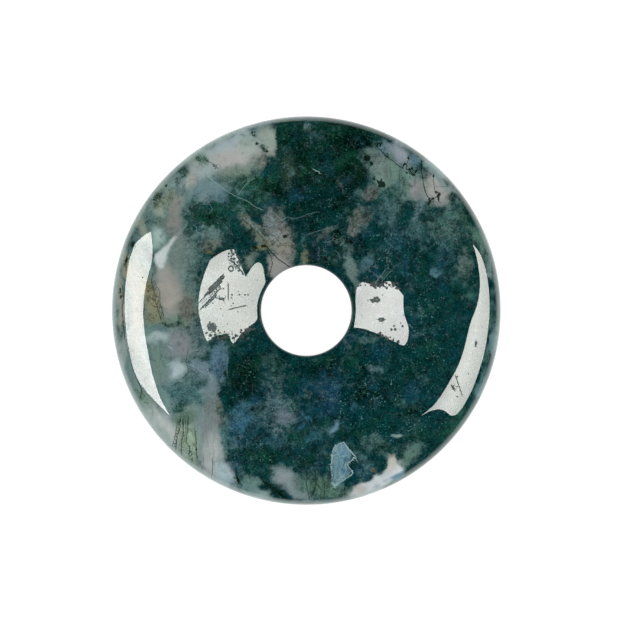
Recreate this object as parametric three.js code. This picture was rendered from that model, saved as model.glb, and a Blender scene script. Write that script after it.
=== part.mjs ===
// A polished moss agate donut: one disc of stone with a round hole through its middle.
// Millimetres, +Z up. It lies flat, with its hole upright and the middle of its underside at the origin.
// Both faces are domed alike: a long shallow flank falls from a flat crest to the hole, and a short
// steeper one falls to the rounded rim.

import * as THREE from "three";

// Driving dimensions
const OUTER_RADIUS = 20;
const HOLE_RADIUS = 4.64;
const THICKNESS = 6.2;

// The crest is a narrow flat ring on each face, the highest part of the dome.
const CREST_INNER_RADIUS = 14;
const CREST_OUTER_RADIUS = 15.7;

// Radii of the arcs that make the rest of the section
const INNER_FLANK_BEND = 19.5;
const OUTER_FLANK_BEND = 6.4;
const LIP_BEND = 0.6;
const RIM_BEND = 2.2;

// How finely each arc, and the whole turn, is cut into flat faces
const INNER_FLANK_STEPS = 8;
const OUTER_FLANK_STEPS = 4;
const LIP_STEPS = 3;
const RIM_STEPS = 5;
const TURN_STEPS = 96;

const HALF_THICKNESS = THICKNESS / 2;

// Points of an arc about (r, z), from one angle to another. An angle of 0 points straight up and a
// positive one leans outwards, so it is also the slope of the dome there.
function arc(r, z, bend, fromAngle, toAngle, steps) {
  return Array.from({ length: steps + 1 }, (_, i) => {
    const angle = fromAngle + ((toAngle - fromAngle) * i) / steps;
    return new THREE.Vector2(r + bend * Math.sin(angle), z + bend * Math.cos(angle));
  });
}

// Two arcs that meet without a corner: a flank that leaves the crest level, and a rounded edge that
// ends upright at edgeRadius. side is 1 towards the rim and -1 towards the hole.
function flankAndEdge(crestRadius, flankBend, flankSteps, edgeRadius, edgeBend, edgeSteps, side) {
  const run = side * (edgeRadius - crestRadius);
  const slope = Math.asin((run - edgeBend) / (flankBend - edgeBend));
  const flank = arc(
    crestRadius,
    HALF_THICKNESS - flankBend,
    flankBend,
    0,
    side * slope,
    flankSteps,
  );
  const meeting = flank[flank.length - 1];
  const edge = arc(
    meeting.x - side * edgeBend * Math.sin(slope),
    meeting.y - edgeBend * Math.cos(slope),
    edgeBend,
    side * slope,
    (side * Math.PI) / 2,
    edgeSteps,
  );
  return [...flank, ...edge.slice(1)];
}

// The section as one closed outline about the middle of the thickness: from the rim over the top to
// the hole, and back underneath.
function sectionOutline() {
  const towardsRim = flankAndEdge(
    CREST_OUTER_RADIUS,
    OUTER_FLANK_BEND,
    OUTER_FLANK_STEPS,
    OUTER_RADIUS,
    RIM_BEND,
    RIM_STEPS,
    1,
  );
  const towardsHole = flankAndEdge(
    CREST_INNER_RADIUS,
    INNER_FLANK_BEND,
    INNER_FLANK_STEPS,
    HOLE_RADIUS,
    LIP_BEND,
    LIP_STEPS,
    -1,
  );
  const top = [...towardsRim.reverse(), ...towardsHole];
  const underside = top.map((p) => new THREE.Vector2(p.x, -p.y)).reverse();
  return [...top, ...underside, top[0].clone()];
}

function donutGeometry() {
  const geometry = new THREE.LatheGeometry(sectionOutline(), TURN_STEPS);
  // A lathe turns about Y, so its axis is laid along Z.
  geometry.rotateX(Math.PI / 2);
  return geometry;
}

const stoneMaterial = new THREE.MeshStandardMaterial({
  name: "moss agate",
  color: new THREE.Color(0x2d4f50),
  roughness: 0.08,
  metalness: 0,
});

const donut = new THREE.Mesh(donutGeometry(), stoneMaterial);
donut.name = "donut";
donut.position.z = HALF_THICKNESS;

const mossAgateDonut = new THREE.Group();
mossAgateDonut.add(donut);

export default mossAgateDonut;
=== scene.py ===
import math
from collections import namedtuple

import bmesh
import bpy
import numpy as np
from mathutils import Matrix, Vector, noise
from mathutils.geometry import tessellate_polygon


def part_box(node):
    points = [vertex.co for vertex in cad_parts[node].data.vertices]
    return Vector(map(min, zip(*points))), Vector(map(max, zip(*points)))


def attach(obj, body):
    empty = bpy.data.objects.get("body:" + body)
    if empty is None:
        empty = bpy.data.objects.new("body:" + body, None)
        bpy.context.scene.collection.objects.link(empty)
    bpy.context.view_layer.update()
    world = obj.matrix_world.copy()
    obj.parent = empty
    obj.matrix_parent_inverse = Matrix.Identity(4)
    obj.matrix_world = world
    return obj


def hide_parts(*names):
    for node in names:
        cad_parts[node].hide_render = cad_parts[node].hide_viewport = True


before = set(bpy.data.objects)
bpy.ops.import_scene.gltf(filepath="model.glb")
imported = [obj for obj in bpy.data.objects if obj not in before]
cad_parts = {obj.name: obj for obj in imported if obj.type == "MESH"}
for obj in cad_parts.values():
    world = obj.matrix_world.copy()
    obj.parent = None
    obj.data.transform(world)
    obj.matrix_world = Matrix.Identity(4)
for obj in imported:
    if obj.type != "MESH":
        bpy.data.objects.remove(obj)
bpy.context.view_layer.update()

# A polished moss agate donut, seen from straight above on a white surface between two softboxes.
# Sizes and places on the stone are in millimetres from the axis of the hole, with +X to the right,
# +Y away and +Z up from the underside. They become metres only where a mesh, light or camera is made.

MM = 0.001
TINY = 1e-9
NOISE_SEED = 7

# Sizes of the section: the outer ones come from the frame, the others are those of the solid
box_low, box_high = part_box("donut")
OUTER_RADIUS = (box_high.x - box_low.x) / 2 / MM
THICKNESS = (box_high.z - box_low.z) / MM
HALF_THICKNESS = THICKNESS / 2
HOLE_RADIUS = 4.64
CREST_INNER_RADIUS = 14.0
CREST_OUTER_RADIUS = 15.7
INNER_FLANK_BEND = 19.5
OUTER_FLANK_BEND = 6.4
LIP_BEND = 0.6
RIM_BEND = 2.2

# How finely the stone's mesh is cut: round the axis, and along each stretch of the section
TURN_STEPS = 640
UPPER_STEPS = {"crest": 9, "inner flank": 52, "lip": 6, "outer flank": 19, "rim": 12}
LOWER_STEPS = {"crest": 3, "inner flank": 20, "lip": 4, "outer flank": 8, "rim": 8}
WALL_STEPS = 3

# Where the outer flank meets the rounded edge
FLANK_END = 18.9

# Colours of the stone, as red, green and blue from 0 to 255, each with the share of it that dark moss
# covers. Where that share is MOSSY or more, the colour is the moss's own.
MOSSY = 0.7
SNOW = (206, 216, 218, 0.0)
MILK = (166, 184, 186, 0.05)
PALE_WARM = (172, 173, 170, 0.02)
PALE_GREEN = (146, 161, 152, 0.06)
LAVENDER = (124, 133, 137, 0.08)
SLATE = (110, 132, 136, 0.15)
GREY_TEAL = (82, 116, 116, 0.3)
DUSK_BLUE = (58, 96, 114, 0.25)
HAZE = (70, 104, 104, 0.5)
DARK_TEAL = (3, 50, 51, 0.85)
SEA_TEAL = (10, 62, 60, 0.8)
DEEP_BLUE = (16, 62, 80, 0.8)
DEEP_GREEN = (8, 52, 38, 0.84)
BLACK_GREEN = (2, 27, 20, 0.97)

# Colours without a share: first the light painted at the thin rim, then those of what is in the stone
PAINTED_RIM_LIGHT = (150, 172, 168)
MOSS_DARK = (4, 28, 20)
MOSS_GREEN = (20, 62, 42)
BLUE_MOSS = (18, 62, 82)
GREEN_MOSS = (14, 62, 44)
LEAF_DARK = (8, 24, 16)
LEAF_GREEN = (20, 54, 36)
THREAD_DARK = (16, 30, 24)
THREAD_PALE = (150, 178, 180)
WEB_DARK = (36, 44, 28)
GRIT = (82, 126, 124)
OCHRE = (122, 116, 72)
SPARK = (142, 188, 186)

# One soft oval patch in the stone, a row of CLOUDS. The half length lies along the turn, which is in
# degrees from +X. The place says which part of the photographed pattern it is.
Cloud = namedtuple("Cloud", "place tint x y half_length half_width turn strength")

CLOUDS = (
    # Broad grounds
    ("left third", (94, 122, 118, 0.25), -14.8, 1.0, 17.0, 4.6, 92, 1.0),
    ("lower left third", (122, 142, 142, 0.12), -12.8, -12.0, 8.0, 3.2, -52, 0.9),
    ("upper left edge", (156, 172, 164, 0.05), -12.0, 14.4, 5.5, 1.5, 46, 0.7),
    ("upper right ground", HAZE, 9.5, 10.4, 6.5, 4.0, -35, 0.7),
    ("upper middle ground", (3, 38, 36, 0.92), 1.6, 13.0, 5.4, 3.8, 70, 0.9),
    ("middle right ground", DARK_TEAL, 12.0, -3.0, 7.0, 4.0, 90, 0.8),
    ("lower middle ground", (18, 58, 68, 0.8), -3.0, -12.5, 5.0, 4.0, 0, 0.7),
    ("lower right ground", DARK_TEAL, 9.0, -9.0, 5.5, 4.0, -30, 0.9),
    # Top left, inwards from the rim
    ("window", PALE_WARM, -7.7, 15.8, 2.8, 1.6, 18, 1.0),
    ("window, cool upper edge", (160, 178, 184, 0.04), -7.6, 17.4, 2.8, 0.6, 24, 0.8),
    ("window, green middle", (154, 172, 164, 0.05), -5.8, 16.9, 1.1, 1.1, 0, 0.8),
    ("window, green end", PALE_GREEN, -4.0, 17.6, 1.5, 0.9, 90, 1.0),
    ("window, buff corner", (152, 154, 142, 0.2), -4.4, 15.6, 1.1, 0.9, 0, 0.7),
    ("window, shadow", (126, 146, 136, 0.15), -6.9, 14.4, 2.4, 0.6, 4, 0.6),
    ("pale shore", (154, 172, 172, 0.05), -10.4, 13.9, 1.6, 0.8, 40, 0.8),
    ("green by the sprig", (92, 126, 110, 0.35), -10.9, 15.4, 0.8, 0.5, -50, 0.85),
    ("pale by the sprig", (158, 166, 164, 0.04), -11.7, 14.0, 1.0, 0.5, 70, 0.8),
    ("teal notch", (58, 88, 86, 0.5), -12.9, 14.3, 0.9, 0.6, 30, 0.8),
    ("teal drift", GREY_TEAL, -13.4, 12.9, 1.0, 1.2, 0, 0.9),
    ("ringed spot", (158, 162, 156, 0.05), -11.6, 13.0, 0.9, 0.75, 0, 0.9),
    ("pale streak in it", (160, 180, 182, 0.05), -13.1, 12.7, 0.9, 0.25, 70, 0.6),
    ("olive edge", (122, 136, 116, 0.16), -14.8, 11.6, 1.3, 0.8, 50, 0.9),
    ("dark edge", DEEP_GREEN, -15.5, 11.4, 0.6, 0.45, 50, 1.0),
    ("yellow green edge", (146, 160, 146, 0.08), -15.3, 10.3, 0.8, 0.5, 60, 0.8),
    ("dusky edge", (106, 126, 130, 0.15), -16.4, 9.8, 0.7, 0.4, 60, 0.8),
    ("teal above the light", (80, 108, 104, 0.25), -16.6, 8.9, 1.2, 0.8, 50, 0.8),
    ("warm column", (132, 133, 127, 0.1), -13.6, 9.8, 2.0, 0.8, 88, 0.9),
    ("warm column, foot", (104, 108, 104, 0.22), -13.0, 7.6, 1.0, 0.6, 60, 0.7),
    ("green left of it", (96, 118, 106, 0.25), -14.9, 8.7, 0.8, 0.5, 80, 0.8),
    ("blue haze", (108, 134, 138, 0.18), -9.6, 12.5, 2.3, 1.0, 12, 1.0),
    ("blue haze, deep", (72, 106, 118, 0.25), -8.4, 11.6, 1.7, 0.6, 8, 0.6),
    ("smudge in the haze", (122, 142, 144, 0.1), -10.3, 11.3, 0.8, 0.5, 0, 0.7),
    ("dark heart", (18, 62, 48, 0.72), -9.6, 9.6, 2.9, 1.6, 4, 0.95),
    ("dark heart, right", SEA_TEAL, -7.6, 9.8, 1.7, 1.2, 80, 0.8),
    ("dark heart, deepest", BLACK_GREEN, -9.4, 9.3, 0.9, 0.5, 0, 0.6),
    ("haze under the heart", (94, 118, 114, 0.22), -9.9, 7.9, 1.4, 0.75, -10, 0.9),
    ("night under the heart", (40, 70, 76, 0.6), -7.8, 7.2, 1.2, 0.8, 0, 0.5),
    ("teal left of the heart", (52, 82, 74, 0.6), -12.0, 8.6, 1.2, 0.6, 70, 0.9),
    ("green under the window", (30, 74, 54, 0.72), -5.4, 12.2, 2.2, 1.5, 20, 1.0),
    ("teal under the window", (88, 118, 114, 0.3), -7.6, 12.7, 1.0, 0.6, -30, 0.8),
    ("black under the window", BLACK_GREEN, -3.1, 12.4, 1.3, 0.8, 0, 1.0),
    ("window, lower veil", (118, 138, 126, 0.2), -7.2, 14.2, 2.2, 0.6, 6, 0.8),
    ("window, lowest veil", (102, 126, 112, 0.32), -6.4, 13.5, 2.0, 0.5, 8, 0.7),
    # Between the heart and the hole
    ("diagonal fibres", (122, 128, 114, 0.18), -5.6, 8.7, 2.0, 0.5, -46, 0.9),
    ("brown patch", (118, 121, 116, 0.28), -3.0, 8.0, 2.7, 1.5, 104, 1.0),
    ("brown patch, left", (120, 126, 112, 0.32), -4.7, 7.4, 1.5, 0.8, 130, 0.85),
    ("brown patch, cool", (106, 120, 122, 0.2), -3.8, 9.2, 1.0, 0.8, 80, 0.8),
    ("brown patch, milky", (146, 156, 160, 0.04), -3.3, 7.8, 0.5, 0.5, 80, 0.7),
    ("brown patch, warm", (142, 142, 132, 0.16), -2.4, 6.3, 1.5, 0.8, 104, 0.9),
    ("beside the hole", (148, 148, 142, 0.05), -3.0, 4.6, 1.1, 0.8, 140, 1.0),
    ("ochre ledge", (118, 120, 92, 0.3), -4.9, 6.5, 0.9, 0.35, -8, 0.8),
    ("behind the left light", (114, 132, 120, 0.26), -6.0, 5.2, 1.1, 0.8, 60, 0.9),
    ("over the left light", (108, 118, 108, 0.2), -10.3, 6.6, 1.2, 0.55, 12, 0.9),
    ("brown knot over the light", (108, 108, 84, 0.34), -10.2, 5.8, 0.6, 0.35, 20, 0.8),
    ("deep band", (82, 108, 104, 0.35), -11.4, 4.4, 2.2, 0.7, 96, 0.9),
    ("deep band, dark", (44, 78, 84, 0.6), -10.9, 4.2, 0.8, 0.35, 98, 0.5),
    # Left
    ("slate band", (112, 128, 124, 0.12), -12.9, 5.7, 1.8, 0.8, 80, 1.0),
    ("warm field", (156, 154, 146, 0.04), -14.3, 1.9, 2.7, 1.25, 98, 1.0),
    ("warm field, top", (152, 153, 150, 0.04), -14.6, 3.6, 1.2, 0.8, 98, 0.8),
    ("warm field, lower", (112, 112, 102, 0.18), -12.2, 0.2, 1.7, 0.9, 96, 0.9),
    ("olive felt", (140, 138, 106, 0.1), -16.1, 1.2, 2.7, 0.65, 104, 0.9),
    ("white wedge", (180, 192, 190, 0.04), -14.7, 5.4, 0.9, 0.5, 66, 1.0),
    ("white wedge, neck", (118, 132, 128, 0.12), -13.5, 7.1, 1.4, 0.22, 56, 0.6),
    ("turquoise flake", (158, 182, 176, 0.04), -15.1, 7.4, 1.0, 0.7, 60, 1.0),
    ("green bar", (108, 130, 114, 0.2), -13.6, -1.3, 1.4, 0.6, 6, 0.9),
    ("green bar, dark", (40, 74, 60, 0.65), -13.5, -1.5, 0.7, 0.3, 6, 0.5),
    ("olive shelf", (126, 132, 108, 0.14), -15.8, -0.8, 0.9, 0.6, 0, 0.8),
    ("teal shelf", GREY_TEAL, -15.3, -1.9, 1.0, 0.5, 0, 0.8),
    ("lavender field", LAVENDER, -13.0, -3.5, 1.5, 1.5, 90, 1.0),
    ("lavender field, warm", (132, 134, 138, 0.05), -12.7, -3.4, 0.9, 0.6, 90, 0.6),
    ("milk felt", (168, 186, 186, 0.04), -15.4, -2.9, 1.1, 0.5, 14, 0.8),
    ("slate column", (92, 112, 115, 0.22), -11.1, -3.4, 2.1, 0.7, 95, 0.9),
    ("milk spot", MILK, -13.3, -6.2, 0.95, 0.8, 70, 1.0),
    ("green seam by the crescent", (108, 132, 122, 0.22), -15.4, -5.4, 2.0, 0.5, 100, 0.9),
    ("blue veil", (110, 130, 142, 0.12), -10.7, -6.1, 1.6, 0.7, -30, 0.9),
    ("teal pool", (72, 108, 110, 0.3), -12.4, -8.4, 2.3, 1.2, 0, 1.0),
    ("dark pool", (24, 66, 58, 0.78), -12.8, -9.8, 1.2, 0.6, 0, 0.9),
    ("turquoise shore", (112, 146, 140, 0.2), -14.6, -8.9, 1.1, 0.4, -50, 0.8),
    # Lower left
    ("deep blue column", (82, 112, 130, 0.2), -9.0, -5.3, 2.1, 0.8, 95, 1.0),
    ("deep blue column, dark", (60, 92, 108, 0.45), -8.4, -6.6, 1.1, 0.4, 95, 0.4),
    ("black mass", BLACK_GREEN, -6.4, -7.0, 2.0, 1.7, 60, 1.0),
    ("black tail", BLACK_GREEN, -5.0, -9.4, 1.2, 0.6, 90, 1.0),
    ("night right of the light", (42, 74, 72, 0.62), -6.0, -3.4, 1.6, 1.0, 30, 0.8),
    ("green by the hole", (30, 62, 52, 0.75), -3.6, -5.6, 1.4, 0.8, -30, 0.7),
    ("grey band, head", SLATE, -9.9, -8.0, 1.5, 0.7, 88, 1.0),
    ("grey band", (106, 119, 120, 0.12), -9.8, -10.4, 1.6, 0.8, 88, 1.0),
    ("grey band, middle", (122, 134, 135, 0.05), -9.8, -12.6, 2.0, 1.0, 88, 1.0),
    ("grey band, foot", (163, 171, 170, 0.02), -9.8, -15.3, 2.4, 1.1, 84, 1.0),
    ("green edge of the tip", (114, 140, 126, 0.18), -16.6, -9.5, 1.7, 0.6, -58, 0.9),
    ("pale corner", (178, 187, 185, 0.02), -14.6, -11.9, 2.4, 1.1, -48, 1.0),
    ("streaked field", (140, 162, 142, 0.08), -12.2, -13.3, 2.8, 1.0, 96, 1.0),
    ("streaked field, dark head", (80, 110, 96, 0.3), -12.5, -10.9, 1.1, 0.6, 0, 0.8),
    ("pale blue foot", (162, 182, 188, 0.04), -8.4, -17.0, 1.6, 0.8, 108, 1.0),
    ("blue pool", (54, 100, 122, 0.4), -6.7, -11.6, 2.2, 1.4, 90, 0.95),
    ("mottled edge of the grey band", (92, 98, 84, 0.5), -8.9, -10.4, 1.5, 0.45, 92, 0.7),
    ("teal shore", (60, 104, 100, 0.3), -8.4, -12.6, 1.8, 0.4, 98, 0.7),
    ("felted grey", (86, 111, 116, 0.4), -3.0, -10.0, 3.0, 1.8, 96, 0.9),
    ("felted grey, pale", (100, 110, 122, 0.25), -1.8, -11.0, 1.3, 0.8, 10, 0.75),
    ("felted grey, veil", HAZE, -3.8, -7.6, 1.4, 0.8, 90, 0.5),
    ("blue under the felt", (54, 98, 114, 0.5), -3.0, -13.6, 2.0, 0.6, 0, 0.6),
    ("dark shelf", DARK_TEAL, -3.6, -15.1, 3.4, 0.9, -4, 1.0),
    ("dark shelf, black", BLACK_GREEN, -4.0, -15.2, 0.9, 0.5, 0, 0.6),
    ("dark root", (50, 86, 86, 0.5), -6.9, -16.9, 1.2, 0.5, 100, 0.7),
    ("green foot", (108, 140, 134, 0.18), -5.4, -17.6, 1.3, 0.8, 0, 0.9),
    ("pale foot edge", (150, 172, 168, 0.05), -5.0, -18.7, 1.6, 0.45, -14, 0.9),
    ("grey foot", (130, 142, 146, 0.08), -1.8, -17.4, 1.7, 1.0, 140, 1.0),
    ("grey foot, lower", (132, 150, 152, 0.12), -0.6, -18.9, 1.2, 0.6, -8, 0.8),
    # Top
    ("blackest", BLACK_GREEN, 4.7, 17.4, 3.0, 1.9, -14, 1.0),
    ("green top edge", DEEP_GREEN, 1.8, 18.5, 2.4, 0.7, -2, 0.8),
    ("black column", BLACK_GREEN, -0.6, 15.5, 3.2, 1.0, 90, 0.9),
    ("green top left", DEEP_GREEN, -2.1, 18.2, 1.3, 0.9, 90, 0.9),
    ("olive column", (46, 60, 42, 0.75), -2.0, 14.9, 1.8, 0.7, 90, 0.9),
    ("black knot", BLACK_GREEN, 4.8, 14.5, 1.7, 1.4, 80, 1.0),
    ("black below it", BLACK_GREEN, 3.6, 11.4, 1.4, 0.7, 30, 0.7),
    ("blue in the black", (6, 46, 54, 0.85), 2.4, 15.6, 1.4, 0.8, 80, 0.7),
    ("haze in the black", (58, 84, 86, 0.5), 1.2, 17.8, 0.7, 0.8, 100, 0.8),
    ("plum in the black", (108, 96, 102, 0.25), 3.2, 13.1, 0.7, 0.4, -60, 0.75),
    ("slate nick", (128, 148, 152, 0.1), 0.1, 18.8, 0.5, 0.35, 100, 0.6),
    # Upper right
    ("meadow ground", (108, 136, 126, 0.15), 9.4, 13.6, 3.6, 1.7, -30, 1.0),
    ("pale shoulder", (108, 126, 121, 0.3), 7.5, 15.3, 1.6, 1.1, 100, 0.95),
    ("pale shoulder, outer", (90, 120, 128, 0.2), 8.2, 17.0, 1.2, 0.7, -28, 0.95),
    ("pale shoulder, lilac", (140, 150, 158, 0.04), 9.7, 16.1, 1.3, 0.8, -50, 1.0),
    ("blue notch", (86, 118, 132, 0.15), 11.3, 15.5, 0.9, 0.4, 110, 0.9),
    ("pale edge", (140, 166, 166, 0.05), 13.2, 14.4, 1.7, 0.6, -44, 0.9),
    ("pink lean", (136, 138, 138, 0.06), 11.4, 12.4, 1.2, 0.6, 110, 0.9),
    ("warm meadow", (158, 160, 156, 0.04), 13.4, 12.3, 1.9, 1.2, -60, 1.0),
    ("teal in the meadow", GREY_TEAL, 9.5, 12.6, 1.0, 0.6, 80, 0.75),
    ("green in the meadow", SEA_TEAL, 8.6, 12.0, 1.0, 0.7, 40, 0.8),
    ("pink knot", (122, 118, 116, 0.34), 6.6, 12.0, 0.8, 0.7, 80, 0.8),
    ("dark under the knot", DEEP_GREEN, 6.9, 11.0, 0.8, 0.5, 0, 0.6),
    ("blue streak under the meadow", (96, 122, 130, 0.2), 11.6, 10.6, 1.1, 0.5, 80, 0.9),
    ("blue-green field", (66, 96, 98, 0.42), 8.6, 9.8, 1.7, 1.1, 70, 0.8),
    ("dark in the haze", DARK_TEAL, 10.4, 10.4, 1.0, 0.6, 60, 0.7),
    ("green edge", DEEP_GREEN, 15.9, 11.3, 2.3, 1.0, -52, 1.0),
    ("green behind the edge", DARK_TEAL, 13.4, 9.7, 1.3, 0.6, 0, 0.95),
    ("mossy field", (68, 98, 90, 0.45), 14.6, 8.2, 2.8, 1.6, -40, 0.8),
    ("mossy field, edge", (72, 106, 88, 0.38), 16.2, 9.3, 1.3, 0.5, -52, 0.7),
    ("brown knot", (98, 104, 98, 0.38), 5.5, 9.5, 1.1, 0.9, 40, 0.9),
    ("brown knot, foot", (120, 122, 116, 0.3), 4.7, 8.0, 0.8, 0.6, 100, 0.9),
    ("black clump", BLACK_GREEN, 4.9, 6.8, 1.0, 0.6, 0, 1.0),
    ("brown haze above the hole", (96, 104, 99, 0.35), 1.9, 7.8, 1.0, 0.5, 40, 0.8),
    ("black above the hole", BLACK_GREEN, 3.0, 7.6, 0.9, 0.6, 90, 0.95),
    ("night above the hole", (22, 48, 58, 0.8), 1.0, 5.8, 1.0, 0.7, 70, 0.9),
    ("brown mottle", (74, 90, 82, 0.5), 2.6, 5.6, 0.6, 1.0, 20, 0.6),
    ("wedge by the hole", (102, 124, 120, 0.1), 4.7, 4.2, 2.0, 0.6, 106, 1.0),
    ("olive lip", (106, 114, 94, 0.26), -0.2, 5.4, 0.8, 0.4, 80, 0.8),
    ("blue fuzz", (76, 112, 124, 0.3), 6.1, 4.9, 0.9, 0.6, 60, 0.8),
    ("blue field", (34, 76, 88, 0.62), 8.9, 6.4, 2.2, 1.3, 80, 0.8),
    ("blue rill", (34, 78, 106, 0.55), 10.3, 4.6, 2.6, 0.4, 96, 0.7),
    ("blue spot", (86, 128, 142, 0.12), 13.3, 4.0, 0.6, 0.5, 0, 0.95),
    ("blue behind the crescent", (52, 88, 98, 0.5), 13.9, 5.6, 1.6, 1.0, 90, 0.7),
    ("haze by the crescent", (94, 110, 104, 0.3), 16.3, 4.7, 1.8, 0.7, 100, 0.8),
    ("green rim", (84, 122, 104, 0.25), 17.9, 7.2, 1.6, 0.4, -64, 0.9),
    ("green by the crescent", (44, 98, 84, 0.6), 17.2, 1.6, 1.6, 0.6, 90, 0.65),
    ("slate at the rim", (146, 168, 164, 0.05), 18.8, 4.0, 1.0, 0.5, -80, 0.9),
    ("slate rim, lower", (116, 146, 150, 0.1), 19.3, -2.6, 1.6, 0.5, 82, 1.0),
    ("wedge in the rim", (106, 136, 138, 0.15), 18.0, -8.0, 1.0, 0.5, 60, 0.9),
    # Lower right
    ("dark under the hole", BLACK_GREEN, 1.6, -5.6, 2.2, 0.7, 12, 0.6),
    ("brown nick", (116, 119, 110, 0.42), 4.5, -3.6, 0.9, 0.3, -60, 0.4),
    ("haze under the right light", (84, 112, 110, 0.5), 5.9, -2.9, 1.4, 0.5, -15, 0.8),
    ("blue under the right light", DEEP_BLUE, 7.6, -4.3, 1.3, 0.7, 0, 0.7),
    ("felt under the right light", (92, 122, 128, 0.35), 7.1, -5.8, 0.8, 0.5, -20, 0.7),
    ("night middle", BLACK_GREEN, 6.6, -8.6, 1.9, 1.2, -20, 0.85),
    ("blue in the night", (20, 64, 84, 0.8), 10.8, -8.6, 1.2, 0.8, 80, 0.6),
    ("blue plume", (20, 56, 78, 0.78), 2.2, -8.4, 2.2, 1.3, 80, 0.9),
    ("blue plume, foot", (36, 74, 96, 0.68), 3.6, -10.6, 2.6, 1.3, -10, 1.0),
    ("blue lobe", DUSK_BLUE, 5.2, -10.2, 0.9, 0.6, -40, 0.6),
    ("pale tongue", (112, 146, 166, 0.34), 2.8, -11.8, 0.9, 0.35, 70, 0.9),
    ("blue at the axis", (58, 114, 142, 0.48), -0.2, -11.6, 1.3, 0.7, 90, 0.85),
    ("teal at the axis", (42, 100, 114, 0.56), 0.6, -13.0, 1.2, 0.8, 0, 0.8),
    ("haze at the axis", HAZE, 0.2, -8.8, 0.9, 0.5, 90, 0.6),
    ("green left of the broken face", DEEP_GREEN, 1.0, -15.2, 1.2, 0.7, 0, 0.9),
    ("grey green haze", (80, 112, 106, 0.42), 7.2, -13.7, 1.6, 1.0, -30, 0.85),
    ("grey green haze, outer", (96, 128, 118, 0.4), 10.5, -15.0, 1.4, 0.8, 60, 0.9),
    ("night beside the broken face", (72, 108, 116, 0.36), 5.6, -16.0, 1.2, 0.7, 100, 0.9),
    ("streaked foot", (84, 116, 102, 0.3), 1.6, -18.2, 2.6, 1.2, 170, 1.0),
    ("streaked foot, upper", (60, 90, 80, 0.5), 0.6, -16.6, 0.8, 0.7, 90, 0.8),
    ("streaked foot, right", (88, 114, 100, 0.3), 4.4, -18.6, 1.2, 0.6, 0, 0.8),
    ("broken face", (92, 134, 152, 0.06), 3.4, -15.8, 2.1, 0.85, 94, 1.0),
    ("white band", (192, 202, 204, 0.02), 6.4, -18.3, 1.6, 0.55, 20, 1.0),
    ("white band, middle", SNOW, 7.7, -17.5, 1.3, 0.6, 34, 1.0),
    ("white band, upper end", SNOW, 8.9, -16.5, 1.0, 0.6, 46, 1.0),
    ("white band, tongue", (178, 176, 168, 0.08), 8.5, -15.3, 0.7, 0.35, 84, 0.9),
    ("blue in the band", (92, 142, 170, 0.05), 9.3, -17.1, 0.9, 0.22, 34, 0.9),
    ("rust spot", (108, 92, 68, 0.36), 7.0, -16.55, 0.35, 0.3, 0, 0.8),
    ("edge below the crescent", (28, 78, 62, 0.72), 15.2, -11.8, 2.6, 0.7, 50, 0.8),
    ("left rim", (146, 150, 140, 0.05), -19.1, 1.2, 3.4, 0.45, 92, 1.0),
    ("left rim, olive", (146, 148, 126, 0.06), -18.5, 4.8, 1.9, 0.4, 105, 0.9),
    ("left rim, upper", (138, 148, 136, 0.1), -17.1, 8.7, 1.8, 0.45, 118, 0.9),
    ("left rim, lower", (148, 162, 158, 0.06), -18.6, -4.2, 2.4, 0.4, 76, 0.85),
    ("under the left crescent", (128, 126, 114, 0.08), -17.5, 0.2, 5.0, 0.6, 92, 0.8),
    ("under the left crescent, foot", (84, 104, 98, 0.3), -16.5, -6.9, 3.2, 0.5, -66, 0.85),
    ("upper left rim", (122, 144, 140, 0.12), -14.2, 12.8, 2.4, 0.35, 48, 0.7),
    ("lower left rim", (160, 176, 170, 0.03), -14.4, -12.7, 3.4, 0.4, -48, 0.8),
    ("foot rim, left", (94, 126, 128, 0.18), -6.3, -18.0, 1.8, 0.5, -18, 0.8),
    ("right rim", (66, 102, 94, 0.35), 19.1, 0.2, 2.4, 0.4, 90, 0.8),
    ("right rim, upper", (90, 120, 110, 0.2), 18.3, 5.6, 2.2, 0.4, -72, 0.7),
    ("right rim, lower", (84, 124, 122, 0.22), 18.3, -5.6, 2.6, 0.4, 72, 0.8),
    ("lower right rim", (40, 80, 74, 0.55), 16.2, -10.2, 2.0, 0.4, 58, 0.7),
    ("upper rim, cool", (122, 148, 148, 0.12), 13.6, 13.4, 2.6, 0.35, -46, 0.7),
)

# A part with crisper edges, laid over the clouds: how softly it fades out, and its outline
Shape = namedtuple("Shape", "place tint soft strength points")

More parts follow.
